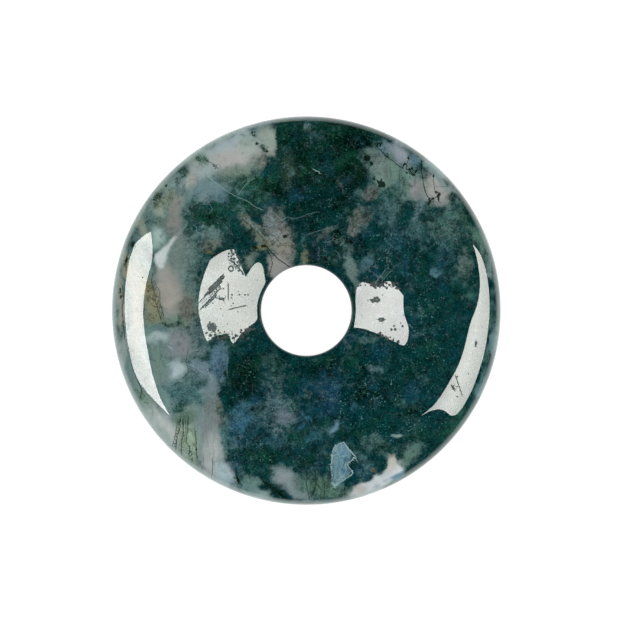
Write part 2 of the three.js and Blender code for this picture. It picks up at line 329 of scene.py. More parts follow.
SHAPES = (
    ("white wedge", (192, 203, 201, 0.02), 0.16, 0.9, (
        (-13.2, 7.5), (-13.9, 6.6), (-14.2, 5.8), (-14.7, 4.4), (-15.1, 4.5), (-15.6, 5.1),
        (-15.5, 5.7), (-14.8, 6.3), (-14.1, 6.9), (-13.5, 7.6),
    )),
    ("white wedge, neck", (134, 148, 144, 0.08), 0.16, 0.6, (
        (-12.2, 9.0), (-12.8, 8.0), (-13.3, 7.3), (-13.6, 7.5), (-13.1, 8.2),
    )),
    ("broken face", (108, 142, 148, 0.2), 0.12, 0.8, (
        (2.6, -14.6), (3.0, -13.8), (3.8, -13.5), (4.2, -14.0), (4.6, -14.5), (4.6, -15.4),
        (4.2, -15.7), (4.8, -16.5), (4.6, -16.9), (3.3, -17.7), (2.9, -18.1), (2.6, -17.4),
        (2.5, -16.1), (2.7, -15.1),
    )),
    ("broken face, blue side", (72, 122, 154, 0.15), 0.3, 0.6, (
        (3.6, -13.9), (4.3, -14.5), (4.4, -15.2), (3.9, -15.8), (4.5, -16.5), (3.8, -17.0),
        (3.3, -16.0), (3.4, -14.8),
    )),
    ("white band", (200, 209, 210, 0.02), 0.16, 1.0, (
        (4.5, -18.9), (5.0, -18.1), (6.1, -17.6), (7.0, -17.35), (7.7, -16.9), (8.2, -16.4),
        (8.4, -15.9), (8.9, -16.1), (9.3, -15.9), (9.8, -16.1), (9.75, -16.6), (9.0, -17.25),
        (8.4, -17.8), (7.4, -18.3), (6.5, -18.7), (5.6, -19.0),
    )),
    ("white band, tongue", (192, 192, 184, 0.02), 0.18, 0.9, (
        (8.2, -16.6), (8.45, -15.2), (8.8, -14.9), (9.2, -15.3), (9.3, -16.0), (8.8, -16.8),
    )),
    ("white band, core", SNOW, 0.2, 0.9, (
        (6.9, -17.9), (7.9, -17.2), (8.7, -16.6), (9.5, -16.0), (9.5, -16.5), (8.6, -17.3),
        (7.5, -18.1), (6.2, -18.6),
    )),
    ("white band, left end", (178, 176, 171, 0.04), 0.3, 0.8, (
        (4.9, -18.8), (5.1, -17.9), (5.8, -17.7), (6.2, -18.1), (6.0, -18.8),
    )),
    ("white band, blue mottle", (136, 160, 170, 0.1), 0.14, 0.6, (
        (6.9, -18.0), (7.2, -17.7), (7.6, -17.8), (7.5, -18.1), (7.1, -18.25),
    )),
    ("white band, blue mottle, right", (136, 162, 172, 0.1), 0.12, 0.55, (
        (7.8, -17.5), (8.1, -17.25), (8.4, -17.3), (8.2, -17.6),
    )),
    ("white bar", (146, 176, 172, 0.12), 0.14, 0.75, (
        (8.5, -12.85), (8.8, -12.5), (9.3, -12.6), (9.75, -12.6), (9.9, -12.85), (9.3, -12.95),
    )),
    ("blue in the band", (84, 132, 152, 0.05), 0.1, 0.8, (
        (8.4, -17.3), (9.0, -16.9), (9.6, -16.6), (10.1, -16.2), (9.9, -16.8), (9.1, -17.3),
    )),
    ("wedge by the hole", (150, 150, 147, 0.04), 0.3, 0.8, (
        (-3.9, 3.6), (-3.6, 5.2), (-2.9, 5.8), (-2.0, 5.0), (-1.4, 4.5), (-2.2, 4.0), (-3.2, 3.3),
    )),
)

# An oval patch where something grows in the stone, and how thickly: a row of the next tables
Growth = namedtuple("Growth", "place x y half_length half_width turn density")

# Dark moss
MOSS = (
    ("under everything", 2.0, 1.0, 17.0, 17.0, 0, 0.34),
    ("top", 1.2, 16.0, 5.0, 4.2, 90, 0.62),
    ("edge of the window", -2.9, 16.5, 2.8, 0.7, 90, 0.66),
    ("window, upper clump", -5.3, 18.1, 0.55, 0.45, 0, 0.72),
    ("window, trail", -4.7, 16.9, 0.9, 0.45, -60, 0.62),
    ("window, lower clump", -4.3, 16.3, 0.6, 0.4, 0, 0.62),
    ("window, foot", -4.6, 15.1, 1.5, 0.5, 10, 0.48),
    ("green under the window", -5.0, 12.6, 2.2, 1.6, 0, 0.52),
    ("edge clump", -10.6, 15.5, 0.9, 0.35, -50, 0.62),
    ("edge clump, tail", -9.4, 14.8, 0.7, 0.3, -20, 0.6),
    ("dark teal clump", -12.6, 14.2, 0.7, 0.5, 0, 0.68),
    ("olive clump", -15.2, 11.8, 0.45, 0.55, 0, 0.7),
    ("olive clump, upper", -14.2, 12.6, 0.5, 0.4, 0, 0.6),
    ("olive clump, lower", -14.9, 10.8, 0.7, 0.3, -50, 0.56),
    ("dark heart", -9.2, 9.5, 2.8, 1.6, 0, 0.5),
    ("brown patch, left edge", -5.7, 8.4, 1.5, 1.1, 70, 0.56),
    ("brown patch, right edge", -1.3, 7.2, 2.6, 0.7, 88, 0.56),
    ("nick in the brown patch", -2.2, 7.6, 0.35, 0.3, 0, 0.72),
    ("ochre clump", -4.7, 6.5, 1.0, 0.4, -12, 0.6),
    ("brown knot over the light", -10.4, 5.9, 0.6, 0.4, 0, 0.66),
    ("streaks by the blue band", -12.5, 3.2, 1.8, 0.35, 88, 0.5),
    ("olive felt", -15.7, 1.5, 2.2, 0.6, 110, 0.44),
    ("green bar", -13.9, -1.4, 1.6, 0.5, 6, 0.56),
    ("rim, upper spot", -18.0, 6.9, 0.5, 0.35, 70, 0.74),
    ("rim, middle spot", -18.5, 5.0, 0.7, 0.3, 84, 0.68),
    ("rim, lower spot", -19.0, 1.8, 0.8, 0.3, 90, 0.66),
    ("rim, seam", -18.9, -1.6, 1.8, 0.18, 92, 0.58),
    ("seam by the crescent", -15.4, -5.6, 2.2, 0.5, 100, 0.46),
    ("dark pool", -13.0, -9.4, 1.6, 0.8, 0, 0.52),
    ("black mass", -6.4, -6.4, 2.2, 1.7, 0, 0.66),
    ("lower left edge", -17.0, -9.0, 1.4, 0.35, -60, 0.56),
    ("middle below the hole", -3.0, -7.6, 2.4, 2.0, 90, 0.48),
    ("dark foot", -3.6, -15.0, 3.0, 1.3, 0, 0.56),
    ("foot streaks", -2.8, -18.4, 1.8, 0.5, -40, 0.6),
    ("foot streaks, left", -7.1, -17.6, 1.3, 0.5, 100, 0.56),
    ("black knot", 4.9, 14.2, 1.3, 1.0, 80, 0.66),
    ("speck by the shoulder", 6.6, 15.1, 0.4, 0.3, 120, 0.7),
    ("shoulder top", 7.3, 17.3, 0.6, 0.5, 0, 0.66),
    ("around the brown knot", 4.2, 10.4, 1.4, 0.8, 0, 0.6),
    ("beside the hole", 3.2, 5.8, 2.2, 1.4, 40, 0.56),
    ("green edge", 15.9, 11.2, 1.8, 0.6, -52, 0.56),
    ("mossy field", 13.6, 8.8, 2.2, 1.3, -30, 0.52),
    ("right rim", 18.4, 6.2, 1.4, 0.3, -66, 0.56),
    ("dark middle", 8.0, -8.0, 3.0, 2.4, 0, 0.46),
    ("below the broken face", 7.6, -13.6, 1.9, 1.2, -10, 0.5),
    ("foot, right", 2.0, -18.4, 2.4, 0.8, 0, 0.5),
    ("inside the right rim", 18.6, -5.4, 3.0, 0.4, 72, 0.56),
    ("inside the lower rim", 16.0, -10.4, 2.4, 0.5, 54, 0.52),
)

# Felts of pale fibres
FELT = (
    ("under everything", 0.0, 0.0, 19.0, 19.0, 0, 0.26),
    ("brown patch", -3.2, 8.0, 2.6, 1.7, 100, 0.6),
    ("under the heart", -10.2, 8.4, 1.4, 0.8, 0, 0.55),
    ("blue over the heart", -9.5, 11.5, 1.6, 1.0, 0, 0.45),
    ("milk felt", -15.0, -2.8, 1.6, 1.2, 20, 0.7),
    ("blue veil", -10.6, -5.8, 1.6, 1.0, -20, 0.65),
    ("felted grey", -2.8, -10.4, 2.8, 2.2, 96, 0.75),
    ("felted grey, top", -3.2, -7.8, 1.6, 1.4, 96, 0.5),
    ("blue pool", -7.0, -12.4, 1.6, 1.2, 0, 0.5),
    ("grey foot", -2.4, -17.2, 1.2, 0.8, 0, 0.6),
    ("blue plume", 2.2, -8.4, 2.2, 1.4, 80, 0.45),
    ("broken face", 3.5, -15.8, 2.2, 1.1, 94, 0.95),
    ("beside the hole", 2.4, 6.4, 2.4, 1.6, 0, 0.55),
    ("over the right light", 7.6, 4.6, 2.4, 1.2, 40, 0.6),
    ("under the right light", 6.4, -5.6, 1.6, 0.8, 0, 0.6),
    ("mossy field", 14.6, 7.6, 2.6, 1.8, 0, 0.45),
    ("brown knot", 4.9, 8.6, 1.2, 1.0, 0, 0.5),
    ("below the broken face", 8.0, -13.2, 2.0, 1.2, 0, 0.45),
)

# Webs of dark fibres, upright streaks and sparkling grit
WEBS = (
    ("under everything", 0.0, 0.0, 19.0, 19.0, 0, 0.12),
    ("olive felt", -15.8, 1.4, 2.6, 0.7, 108, 0.95),
    ("olive shelf", -15.6, -0.9, 0.9, 0.5, 0, 0.8),
    ("olive edge", -14.8, 11.5, 1.4, 0.9, 50, 0.75),
    ("left rim", -19.0, 2.5, 3.0, 0.5, 92, 0.6),
    ("over the left light", -10.0, 6.2, 1.2, 0.6, 10, 0.8),
    ("brown patch", -3.2, 7.8, 2.8, 1.9, 100, 0.9),
    ("diagonal fibres", -5.9, 8.8, 2.2, 0.8, -42, 0.8),
    ("ochre clump", -4.7, 6.4, 1.1, 0.5, -12, 1.0),
    ("warm field, lower", -12.2, 0.4, 1.6, 0.9, 96, 0.5),
    ("streaked field", -12.3, -13.2, 2.8, 1.0, 96, 0.6),
    ("meadow", 9.6, 13.4, 3.0, 1.6, -30, 0.35),
    ("brown knot", 5.2, 9.0, 2.0, 1.2, 60, 0.95),
    ("pink knot", 6.6, 12.0, 0.9, 0.8, 0, 0.9),
    ("pale shoulder", 7.4, 15.4, 1.6, 1.1, 90, 0.6),
    ("beside the hole", 2.4, 6.4, 2.4, 1.6, 0, 0.7),
    ("foot", 1.6, -17.8, 2.8, 1.4, 0, 0.5),
    ("streaks by the blue band", -12.0, 4.0, 3.0, 0.8, 92, 0.5),
    ("window, foot", -4.6, 15.2, 1.4, 0.8, 0, 0.6),
)

STREAKS = (
    ("window, foot", -6.4, 13.8, 3.2, 1.0, 0, 0.7),
    ("meadow", 9.6, 13.6, 2.6, 1.8, 0, 0.8),
    ("streaked field", -12.3, -13.2, 2.9, 1.1, 96, 1.0),
    ("grey band", -9.9, -12.6, 5.0, 1.2, 90, 0.6),
    ("foot", 2.2, -17.8, 3.2, 1.8, 0, 0.9),
    ("felted grey", -3.2, -9.6, 3.2, 2.0, 96, 0.5),
    ("teal drift", -13.2, 12.4, 1.4, 1.4, 0, 0.7),
    ("deep blue column", -9.0, -5.6, 2.4, 1.2, 95, 0.5),
    ("deep band", -11.6, 4.4, 3.0, 1.2, 94, 0.5),
    ("pale corner", -14.6, -12.0, 2.0, 1.2, -48, 0.3),
)

SPARKLE = (
    ("all over", 0.0, 0.0, 21.0, 21.0, 0, 0.22),
    ("dark right", 12.4, -1.6, 5.0, 2.2, 90, 0.9),
    ("lower right", 8.0, -9.8, 6.0, 4.0, -10, 0.9),
    ("dark shelf", -3.4, -14.6, 3.6, 1.6, 0, 1.4),
    ("blue pool", -7.0, -12.6, 1.8, 2.4, 0, 0.9),
    ("upper middle", 2.4, 10.4, 3.6, 3.6, 0, 0.5),
    ("olive column", -2.0, 14.6, 2.0, 1.0, 90, 0.6),
    ("blue field", 9.0, 6.8, 2.6, 2.2, 0, 0.8),
    ("teal pool", -12.8, -8.6, 2.4, 1.4, 0, 0.9),
)

# Wear of the polish, where the mirror image of the lights breaks up; it also darkens the colour as
# painted shade
WEAR = (
    ("all over", 0.0, 0.0, 21.0, 21.0, 0, 0.16),
    ("left light, middle", -8.0, 1.0, 2.6, 2.6, 0, 0.34),
    ("left light, top", -7.2, 5.2, 1.6, 0.7, -60, 0.66),
    ("left light, foot", -8.4, -2.6, 2.4, 0.6, 0, 0.7),
    ("left light, right foot", -6.2, -2.3, 1.5, 0.6, 40, 0.7),
    ("right light, top", 7.4, 2.7, 3.0, 0.6, -6, 0.7),
    ("right light, foot", 7.6, -2.7, 2.8, 0.5, -16, 0.68),
    ("right light, blotch", 7.1, 1.1, 0.8, 0.35, 0, 0.85),
    ("right light, cluster", 9.3, -1.7, 0.9, 0.7, 0, 0.6),
    ("right crescent, foot", 15.6, -7.6, 2.4, 0.8, 62, 0.36),
    ("left crescent, top", -17.2, 4.4, 2.2, 0.8, 100, 0.26),
)

# A thin line in the stone, through given points. The width is half the line's.
Thread = namedtuple("Thread", "place width strength points")

DARK_THREADS = (
    ("crack to the hole", 0.05, 0.95, ((-4.1, 6.6), (-3.6, 6.0), (-2.9, 5.3), (-1.6, 4.4))),
    ("crack beside it", 0.05, 0.75, (
        (-4.0, 6.2), (-3.55, 5.4), (-3.5, 4.8), (-3.7, 4.0), (-3.8, 3.3),
    )),
    ("edge sprig", 0.05, 0.45, ((-11.1, 16.2), (-10.7, 15.6), (-9.9, 15.2), (-9.4, 14.9), (-9.1, 14.6))),
    ("edge sprig, side", 0.05, 0.35, ((-10.8, 15.6), (-11.0, 15.0), (-10.5, 14.7))),
    ("edge sprig, end", 0.04, 0.35, ((-9.2, 14.9), (-8.9, 15.0), (-8.7, 14.7), (-9.0, 14.6))),
    ("ring", 0.04, 0.3, (
        (-11.9, 13.4), (-11.5, 13.5), (-11.1, 13.2), (-11.1, 12.8), (-11.4, 12.5), (-11.6, 12.2),
    )),
    ("arch", 0.04, 0.25, ((-12.9, 12.3), (-12.4, 13.0), (-12.0, 13.3), (-11.9, 13.4))),
    ("long sprig", 0.042, 1.0, (
        (7.5, 16.6), (8.0, 16.0), (8.5, 15.6), (9.0, 15.25), (9.6, 14.7), (9.9, 14.75), (10.1, 15.0),
    )),
    ("long sprig, end", 0.045, 1.0, (
        (9.7, 14.6), (10.2, 14.5), (10.6, 14.4), (10.8, 14.1), (11.0, 13.9),
    )),
    ("long sprig, fork", 0.04, 1.0, ((10.5, 14.5), (10.8, 14.55), (11.2, 14.2), (11.35, 14.4))),
    ("long sprig, twig", 0.04, 0.9, ((10.6, 14.4), (10.4, 14.1), (10.2, 14.15))),
    ("long sprig, spur", 0.04, 0.8, ((10.5, 15.7), (10.45, 15.4), (10.3, 15.0), (10.2, 14.6))),
    ("faint stem", 0.035, 0.5, ((9.55, 14.4), (9.55, 13.6), (9.6, 12.5))),
    ("hooked stem", 0.045, 1.0, (
        (11.86, 15.45), (11.82, 14.8), (11.86, 14.1), (11.95, 13.3), (12.1, 12.5), (12.25, 12.05),
        (12.45, 11.65),
    )),
    ("hooked stem, top", 0.04, 0.7, ((11.7, 15.45), (12.05, 15.4))),
    ("beaded stem", 0.035, 0.8, (
        (13.05, 13.9), (13.05, 13.3), (13.1, 12.8), (13.15, 12.35), (13.4, 12.1),
    )),
    ("beaded stem, end", 0.04, 0.9, ((13.6, 11.9), (13.2, 11.55), (12.85, 11.4), (12.5, 11.05))),
    ("level hair", 0.03, 0.5, ((13.2, 12.72), (14.6, 12.68))),
    ("streak", 0.06, 0.8, ((-12.9, -11.0), (-13.0, -12.2), (-13.3, -13.2), (-13.4, -14.3))),
    ("streak, edge", 0.05, 0.7, ((-13.2, -11.4), (-13.4, -12.6), (-13.7, -13.8))),
    ("streak, inner", 0.06, 0.75, ((-12.6, -11.2), (-12.6, -12.6), (-12.8, -13.6), (-12.8, -14.9))),
    ("streak, third", 0.05, 0.6, ((-12.1, -10.9), (-12.2, -12.2), (-12.35, -13.6))),
    ("streak, bright", 0.12, 0.8, ((-12.0, -13.9), (-11.95, -14.3), (-12.0, -14.7))),
    ("streak, right", 0.06, 0.75, ((-11.4, -12.2), (-11.3, -13.4), (-11.3, -14.4), (-11.2, -15.2))),
    ("streak, foot", 0.06, 0.65, ((-11.7, -14.6), (-11.7, -15.4))),
    ("hair in the grey band", 0.04, 0.7, ((-9.65, -15.3), (-9.6, -16.2), (-9.7, -17.0))),
    ("hair beside it", 0.03, 0.5, ((-10.6, -14.6), (-10.5, -15.6), (-10.75, -16.3))),
    ("seam by the lavender", 0.05, 0.6, ((-12.1, -4.0), (-12.3, -5.2), (-12.0, -6.3), (-12.6, -6.9))),
    ("foot slash", 0.13, 0.9, ((-4.2, -17.6), (-3.2, -18.4), (-2.5, -19.0), (-1.6, -19.6))),
    ("foot slash, left", 0.1, 0.75, ((-4.6, -17.3), (-3.8, -18.1), (-3.0, -18.9))),
    ("foot root", 0.12, 0.8, ((-7.2, -16.4), (-7.1, -17.2), (-6.7, -17.9))),
    ("rim thread", 0.05, 0.8, ((-18.9, 2.6), (-18.7, 1.5), (-18.9, 0.2), (-18.75, -1.6), (-18.6, -3.0))),
    ("rim thread, upper", 0.06, 0.8, ((-18.2, 6.2), (-18.5, 5.2), (-18.5, 4.2))),
    ("rim thread, lower", 0.05, 0.7, ((-18.2, -3.8), (-17.8, -6.0), (-17.2, -7.4), (-16.6, -8.8))),
    ("lower rim, spur", 0.06, 0.65, ((-17.3, -7.0), (-16.9, -8.0), (-17.0, -8.9))),
    ("olive stem", 0.045, 0.75, ((-14.9, -0.9), (-15.4, 0.8), (-15.6, 2.0), (-15.9, 3.0), (-15.7, 3.9))),
    ("olive stem, right", 0.04, 0.7, ((-14.6, -0.6), (-15.0, 0.8), (-15.0, 2.0), (-15.5, 2.8))),
    ("olive stem, left", 0.04, 0.6, ((-15.4, 0.8), (-16.0, 1.4), (-16.3, 2.4))),
    ("root at the crescent", 0.05, 0.6, ((18.6, 6.4), (18.0, 5.2), (18.2, 4.4))),
    ("foot line", 0.06, 0.6, ((0.9, -16.2), (1.0, -17.6), (0.7, -18.9))),
    ("foot line, right", 0.06, 0.6, ((1.6, -16.4), (1.9, -17.8), (1.8, -19.2))),
    ("foot line, left", 0.06, 0.6, ((0.1, -16.6), (0.0, -17.8), (0.3, -19.2))),
    ("top line", 0.035, 0.6, ((0.5, 18.4), (0.8, 17.6), (0.9, 17.3))),
)

# Small dark leaves and clumps near the surface, with the same places as the threads
LEAVES = (
    ("long sprig, head", 7.35, 17.15, 0.3, 0.12, 30, 0.95),
    ("long sprig, head, middle", 7.6, 16.95, 0.28, 0.12, 40, 0.95),
    ("long sprig, head, right", 7.78, 17.2, 0.2, 0.12, 60, 0.9),
    ("long sprig, head, foot", 7.25, 16.75, 0.16, 0.1, 0, 0.9),
    ("long sprig, tip", 10.05, 15.0, 0.24, 0.1, 50, 0.95),
    ("long sprig, spur", 10.48, 15.65, 0.26, 0.12, 100, 0.95),
    ("long sprig, bead", 10.3, 14.95, 0.16, 0.1, 90, 0.9),
    ("long sprig, leaf", 10.6, 14.45, 0.22, 0.12, 60, 0.95),
    ("long sprig, leaf, upper", 10.85, 14.6, 0.22, 0.1, 100, 0.95),
    ("long sprig, leaf, right", 11.25, 14.3, 0.26, 0.14, 50, 0.95),
    ("long sprig, leaf, end", 11.0, 13.9, 0.22, 0.14, 30, 0.95),
    ("long sprig, leaf, foot", 10.65, 14.0, 0.2, 0.1, 0, 0.9),
    ("long sprig, leaf, left", 10.35, 14.1, 0.18, 0.1, -20, 0.85),
    ("faint stem, leaf", 9.6, 13.75, 0.16, 0.1, 90, 0.75),
    ("faint stem, leaf, right", 9.9, 13.55, 0.14, 0.1, 0, 0.75),
    ("beaded stem, head", 13.05, 13.8, 0.22, 0.12, 90, 0.9),
    ("beaded stem, bead", 13.08, 13.25, 0.12, 0.08, 90, 0.9),
    ("beaded stem, leaf", 13.6, 11.85, 0.3, 0.2, 60, 0.95),
    ("beaded stem, leaf, upper", 13.3, 12.15, 0.2, 0.12, -40, 0.95),
    ("beaded stem, leaf, foot", 13.55, 11.45, 0.2, 0.12, 80, 0.95),
    ("beaded stem, leaf, middle", 12.95, 11.45, 0.24, 0.14, 20, 0.95),
    ("beaded stem, leaf, left", 12.6, 11.4, 0.2, 0.14, 100, 0.95),
    ("beaded stem, leaf, end", 12.6, 11.0, 0.24, 0.14, 40, 0.95),
    ("beaded stem, leaf, right", 13.75, 11.1, 0.18, 0.1, -40, 0.85),
    ("black leaf, lone", 6.95, 13.5, 0.2, 0.14, 40, 0.9),
    ("black leaf", 7.75, 12.95, 0.45, 0.34, -30, 1.0),
    ("black leaf, upper left", 7.35, 13.2, 0.22, 0.14, -50, 1.0),
    ("black leaf, upper", 7.7, 13.4, 0.22, 0.12, 90, 0.95),
    ("black leaf, foot", 7.5, 12.75, 0.22, 0.14, 30, 0.95),
    ("shoulder clump", 6.25, 15.6, 0.4, 0.36, 0, 0.9),
    ("shoulder clump, foot", 6.7, 15.0, 0.24, 0.2, 60, 0.9),
    ("edge clump", -11.1, 15.6, 0.5, 0.3, -50, 0.56),
    ("edge clump, right", -9.6, 15.0, 0.24, 0.14, -20, 0.7),
    ("teal clump", -12.8, 14.4, 0.55, 0.35, 20, 0.56),
    ("teal clump, lower", -13.3, 13.3, 0.4, 0.6, 0, 0.52),
    ("olive clump", -15.5, 11.6, 0.4, 0.5, 0, 0.6),
    ("olive clump, upper", -14.4, 12.8, 0.2, 0.18, 0, 0.8),
    ("window, upper clump", -5.5, 18.2, 0.5, 0.34, -50, 0.56),
    ("window, middle clump", -5.05, 17.1, 0.22, 0.2, 0, 0.8),
    ("window, lower clump", -4.35, 16.6, 0.4, 0.2, -40, 0.6),
    ("window, lowest clump", -4.0, 16.3, 0.18, 0.16, 0, 0.85),
    ("nick in the brown patch", -2.2, 7.6, 0.26, 0.2, 0, 0.9),
    ("ochre clump, left", -5.3, 6.5, 0.35, 0.2, -20, 0.8),
    ("ochre clump, right", -4.4, 6.6, 0.35, 0.2, 10, 0.8),
    ("rim, upper spot", -17.8, 6.8, 0.4, 0.3, 70, 0.66),
    ("rim, middle spot", -18.4, 5.2, 0.35, 0.2, 84, 0.85),
    ("rim, lower spot", -19.1, 2.1, 0.25, 0.15, 90, 0.85),
    ("rim, lowest spot", -19.0, 1.4, 0.25, 0.15, 90, 0.85),
    ("brown nick in the streaks", -11.3, -14.2, 0.2, 0.12, 90, 0.8),
    ("pool spot", -12.9, -9.7, 0.6, 0.4, 0, 0.52),
    ("right edge, speck", 18.6, 5.8, 0.2, 0.14, 90, 0.85),
    ("far speck", 14.9, 12.0, 0.16, 0.14, 0, 0.8),
    ("foot, left", -7.0, -17.4, 0.5, 0.16, 100, 0.8),
    ("foot, right", -2.6, -18.9, 0.7, 0.18, -44, 0.85),
)

PALE_THREADS = (
    ("long healed crack", 0.03, 0.6, (
        (-10.1, 13.7), (-9.2, 13.0), (-8.1, 12.2), (-7.0, 11.6), (-6.2, 11.3), (-5.2, 10.6), (-4.5, 10.3),
    )),
    ("zigzag", 0.03, 0.5, ((-5.4, 13.5), (-5.9, 13.2), (-6.3, 12.8), (-6.6, 12.4), (-6.9, 12.0))),
    ("curl", 0.03, 0.3, ((-10.5, 10.9), (-9.9, 10.9), (-9.6, 10.4), (-9.9, 10.0))),
    ("tick", 0.03, 0.35, ((-11.6, 8.8), (-11.2, 8.5), (-11.3, 8.1), (-10.9, 7.9))),
    ("fibre in the brown patch", 0.03, 0.5, ((-6.4, 9.5), (-5.6, 8.8), (-4.8, 8.0), (-4.3, 7.5))),
    ("fibre beside it", 0.025, 0.4, ((-6.0, 9.5), (-5.3, 8.8), (-4.6, 8.0))),
    ("scribble", 0.03, 0.35, ((-3.7, 7.4), (-3.4, 8.0), (-3.0, 7.5), (-2.8, 8.2))),
    ("bent fibre", 0.03, 0.35, ((-3.6, 10.3), (-3.1, 9.8), (-2.5, 9.2), (-1.9, 9.6), (-1.3, 9.4))),
    ("faint line", 0.03, 0.25, ((-1.2, 9.4), (-0.5, 9.6), (0.2, 9.9), (1.1, 10.1))),
    ("faint line, lower", 0.04, 0.22, ((0.1, 7.8), (1.0, 8.1), (1.7, 8.3), (2.5, 8.5))),
    ("squiggle", 0.06, 0.7, ((0.75, 14.5), (0.95, 14.3), (1.2, 14.25), (1.35, 14.1))),
    ("broken face, outline", 0.05, 1.0, (
        (2.6, -14.6), (3.0, -13.8), (3.8, -13.5), (4.2, -14.0), (4.6, -14.5), (5.0, -14.9), (4.6, -15.4),
        (4.2, -15.7), (4.35, -16.1), (4.8, -16.5), (4.6, -16.9), (3.9, -17.35), (3.3, -17.7),
        (2.9, -18.1), (2.6, -17.4), (2.5, -16.1), (2.7, -15.1), (2.6, -14.6),
    )),
    ("broken face, barb", 0.04, 0.8, ((4.6, -14.4), (5.0, -14.9), (5.2, -15.4))),
    ("broken face, left edge", 0.07, 0.9, (
        (2.65, -14.7), (2.6, -15.4), (2.55, -16.4), (2.7, -17.6), (2.95, -18.1),
    )),
    ("broken face, head", 0.04, 0.6, (
        (3.0, -14.4), (3.2, -13.9), (3.6, -13.9), (3.7, -14.3), (3.4, -14.6),
    )),
    ("broken face, rib", 0.035, 0.65, (
        (2.8, -14.9), (3.2, -14.7), (3.5, -15.0), (3.9, -14.8), (4.3, -14.9),
    )),
    ("broken face, right rib", 0.03, 0.6, ((4.1, -14.5), (3.9, -15.0), (3.6, -15.3), (3.9, -15.8))),
    ("broken face, middle rib", 0.03, 0.55, ((3.4, -15.2), (3.6, -16.0), (3.4, -16.6), (3.5, -17.2))),
    ("broken face, lower rib", 0.035, 0.6, ((3.9, -15.9), (4.1, -16.4), (3.8, -16.9), (3.3, -17.3))),
    ("dash", 0.06, 0.8, ((-14.1, -3.7), (-13.8, -3.9))),
    ("upright hair", 0.03, 0.4, ((-8.1, -6.6), (-8.15, -5.7), (-8.0, -4.8))),
    ("veil hair", 0.04, 0.35, ((-11.8, -5.2), (-10.9, -5.6), (-10.2, -6.0), (-9.8, -6.8))),
    ("veil hair, upper", 0.04, 0.4, ((-12.0, -5.6), (-11.2, -5.9), (-10.6, -6.4))),
    ("milk edge", 0.05, 0.5, ((-14.3, -5.6), (-13.6, -5.3), (-12.9, -5.9), (-12.6, -6.7))),
    ("grey foot scribble", 0.04, 0.35, ((-2.9, -16.6), (-2.4, -17.0), (-2.0, -16.6), (-1.7, -17.1))),
    ("hairline over the right light", 0.025, 0.5, ((7.1, 2.9), (7.7, 3.6), (8.2, 4.3))),
    ("hairline beside it", 0.025, 0.4, ((7.7, 2.9), (8.2, 3.5), (8.8, 4.2))),
)

# Real scratches and pits in the polish, which show dark where a light is mirrored, and whose colour is
# also darkened as painted shade
SCRATCHES = (
    ("gouge", 0.1, 1.0, ((-10.3, 1.6), (-9.6, 2.3), (-8.9, 3.0), (-8.5, 3.4))),
    ("gouge, upper stroke", 0.06, 0.95, ((-10.0, 2.2), (-9.3, 2.9), (-8.6, 3.6))),
    ("gouge, lower stroke", 0.06, 0.95, ((-10.0, 1.6), (-9.3, 2.3), (-8.7, 2.9))),
    ("gouge, tail", 0.05, 0.9, ((-10.9, 0.9), (-10.5, 1.3), (-10.0, 1.8))),
    ("second gouge", 0.06, 0.95, ((-10.8, 0.2), (-10.1, 0.9), (-9.4, 1.6), (-8.9, 2.2))),
    ("second gouge, fork", 0.04, 0.85, ((-10.3, 0.4), (-9.7, 1.0), (-9.2, 1.5))),
    ("upright scratch", 0.045, 0.9, ((-8.0, 2.7), (-8.0, 2.0), (-8.0, 1.2))),
    ("oval pit", 0.13, 1.0, ((-8.85, 1.2), (-8.55, 1.2))),
    ("round pit", 0.42, 0.9, ((-9.7, -1.65), (-9.65, -1.75))),
    ("flaw row", 0.07, 0.8, ((-7.9, 5.2), (-7.4, 4.9), (-6.9, 4.4), (-6.5, 3.8))),
    ("ring pit", 0.06, 0.9, (
        (-8.0, 4.3), (-7.8, 4.6), (-7.5, 4.5), (-7.5, 4.1), (-7.8, 4.0), (-8.0, 4.3),
    )),
    ("dotted line", 0.05, 0.7, ((-7.9, 0.1), (-7.2, 0.3), (-6.2, 0.5))),
    ("pit in the right light", 0.2, 0.9, ((7.6, -0.9), (7.8, -0.9))),
    ("crescent hair", 0.045, 0.9, ((15.35, -6.8), (15.6, -7.6), (15.95, -8.6))),
    ("crescent pit", 0.13, 0.9, ((17.4, -3.35), (17.4, -3.45))),
    ("crescent nick", 0.12, 0.9, ((15.0, -7.8), (15.1, -8.0))),
)

# Ochre grains
OCHRE_SPOTS = (
    ("clump by the crack", -4.9, 6.5, 0.9, 0.4, -8, 0.6),
    ("olive felt", -15.7, 1.6, 2.2, 0.6, 106, 0.55),
    ("by the left light", -10.2, 5.8, 0.8, 0.4, 10, 0.5),
    ("hole's upper lip", 0.0, 5.6, 0.5, 0.8, 0, 0.6),
    ("rim, left", -18.6, 4.6, 1.6, 0.4, 84, 0.45),
    ("spot in the grey band", -9.4, -11.3, 0.5, 0.45, 0, 0.4),
)
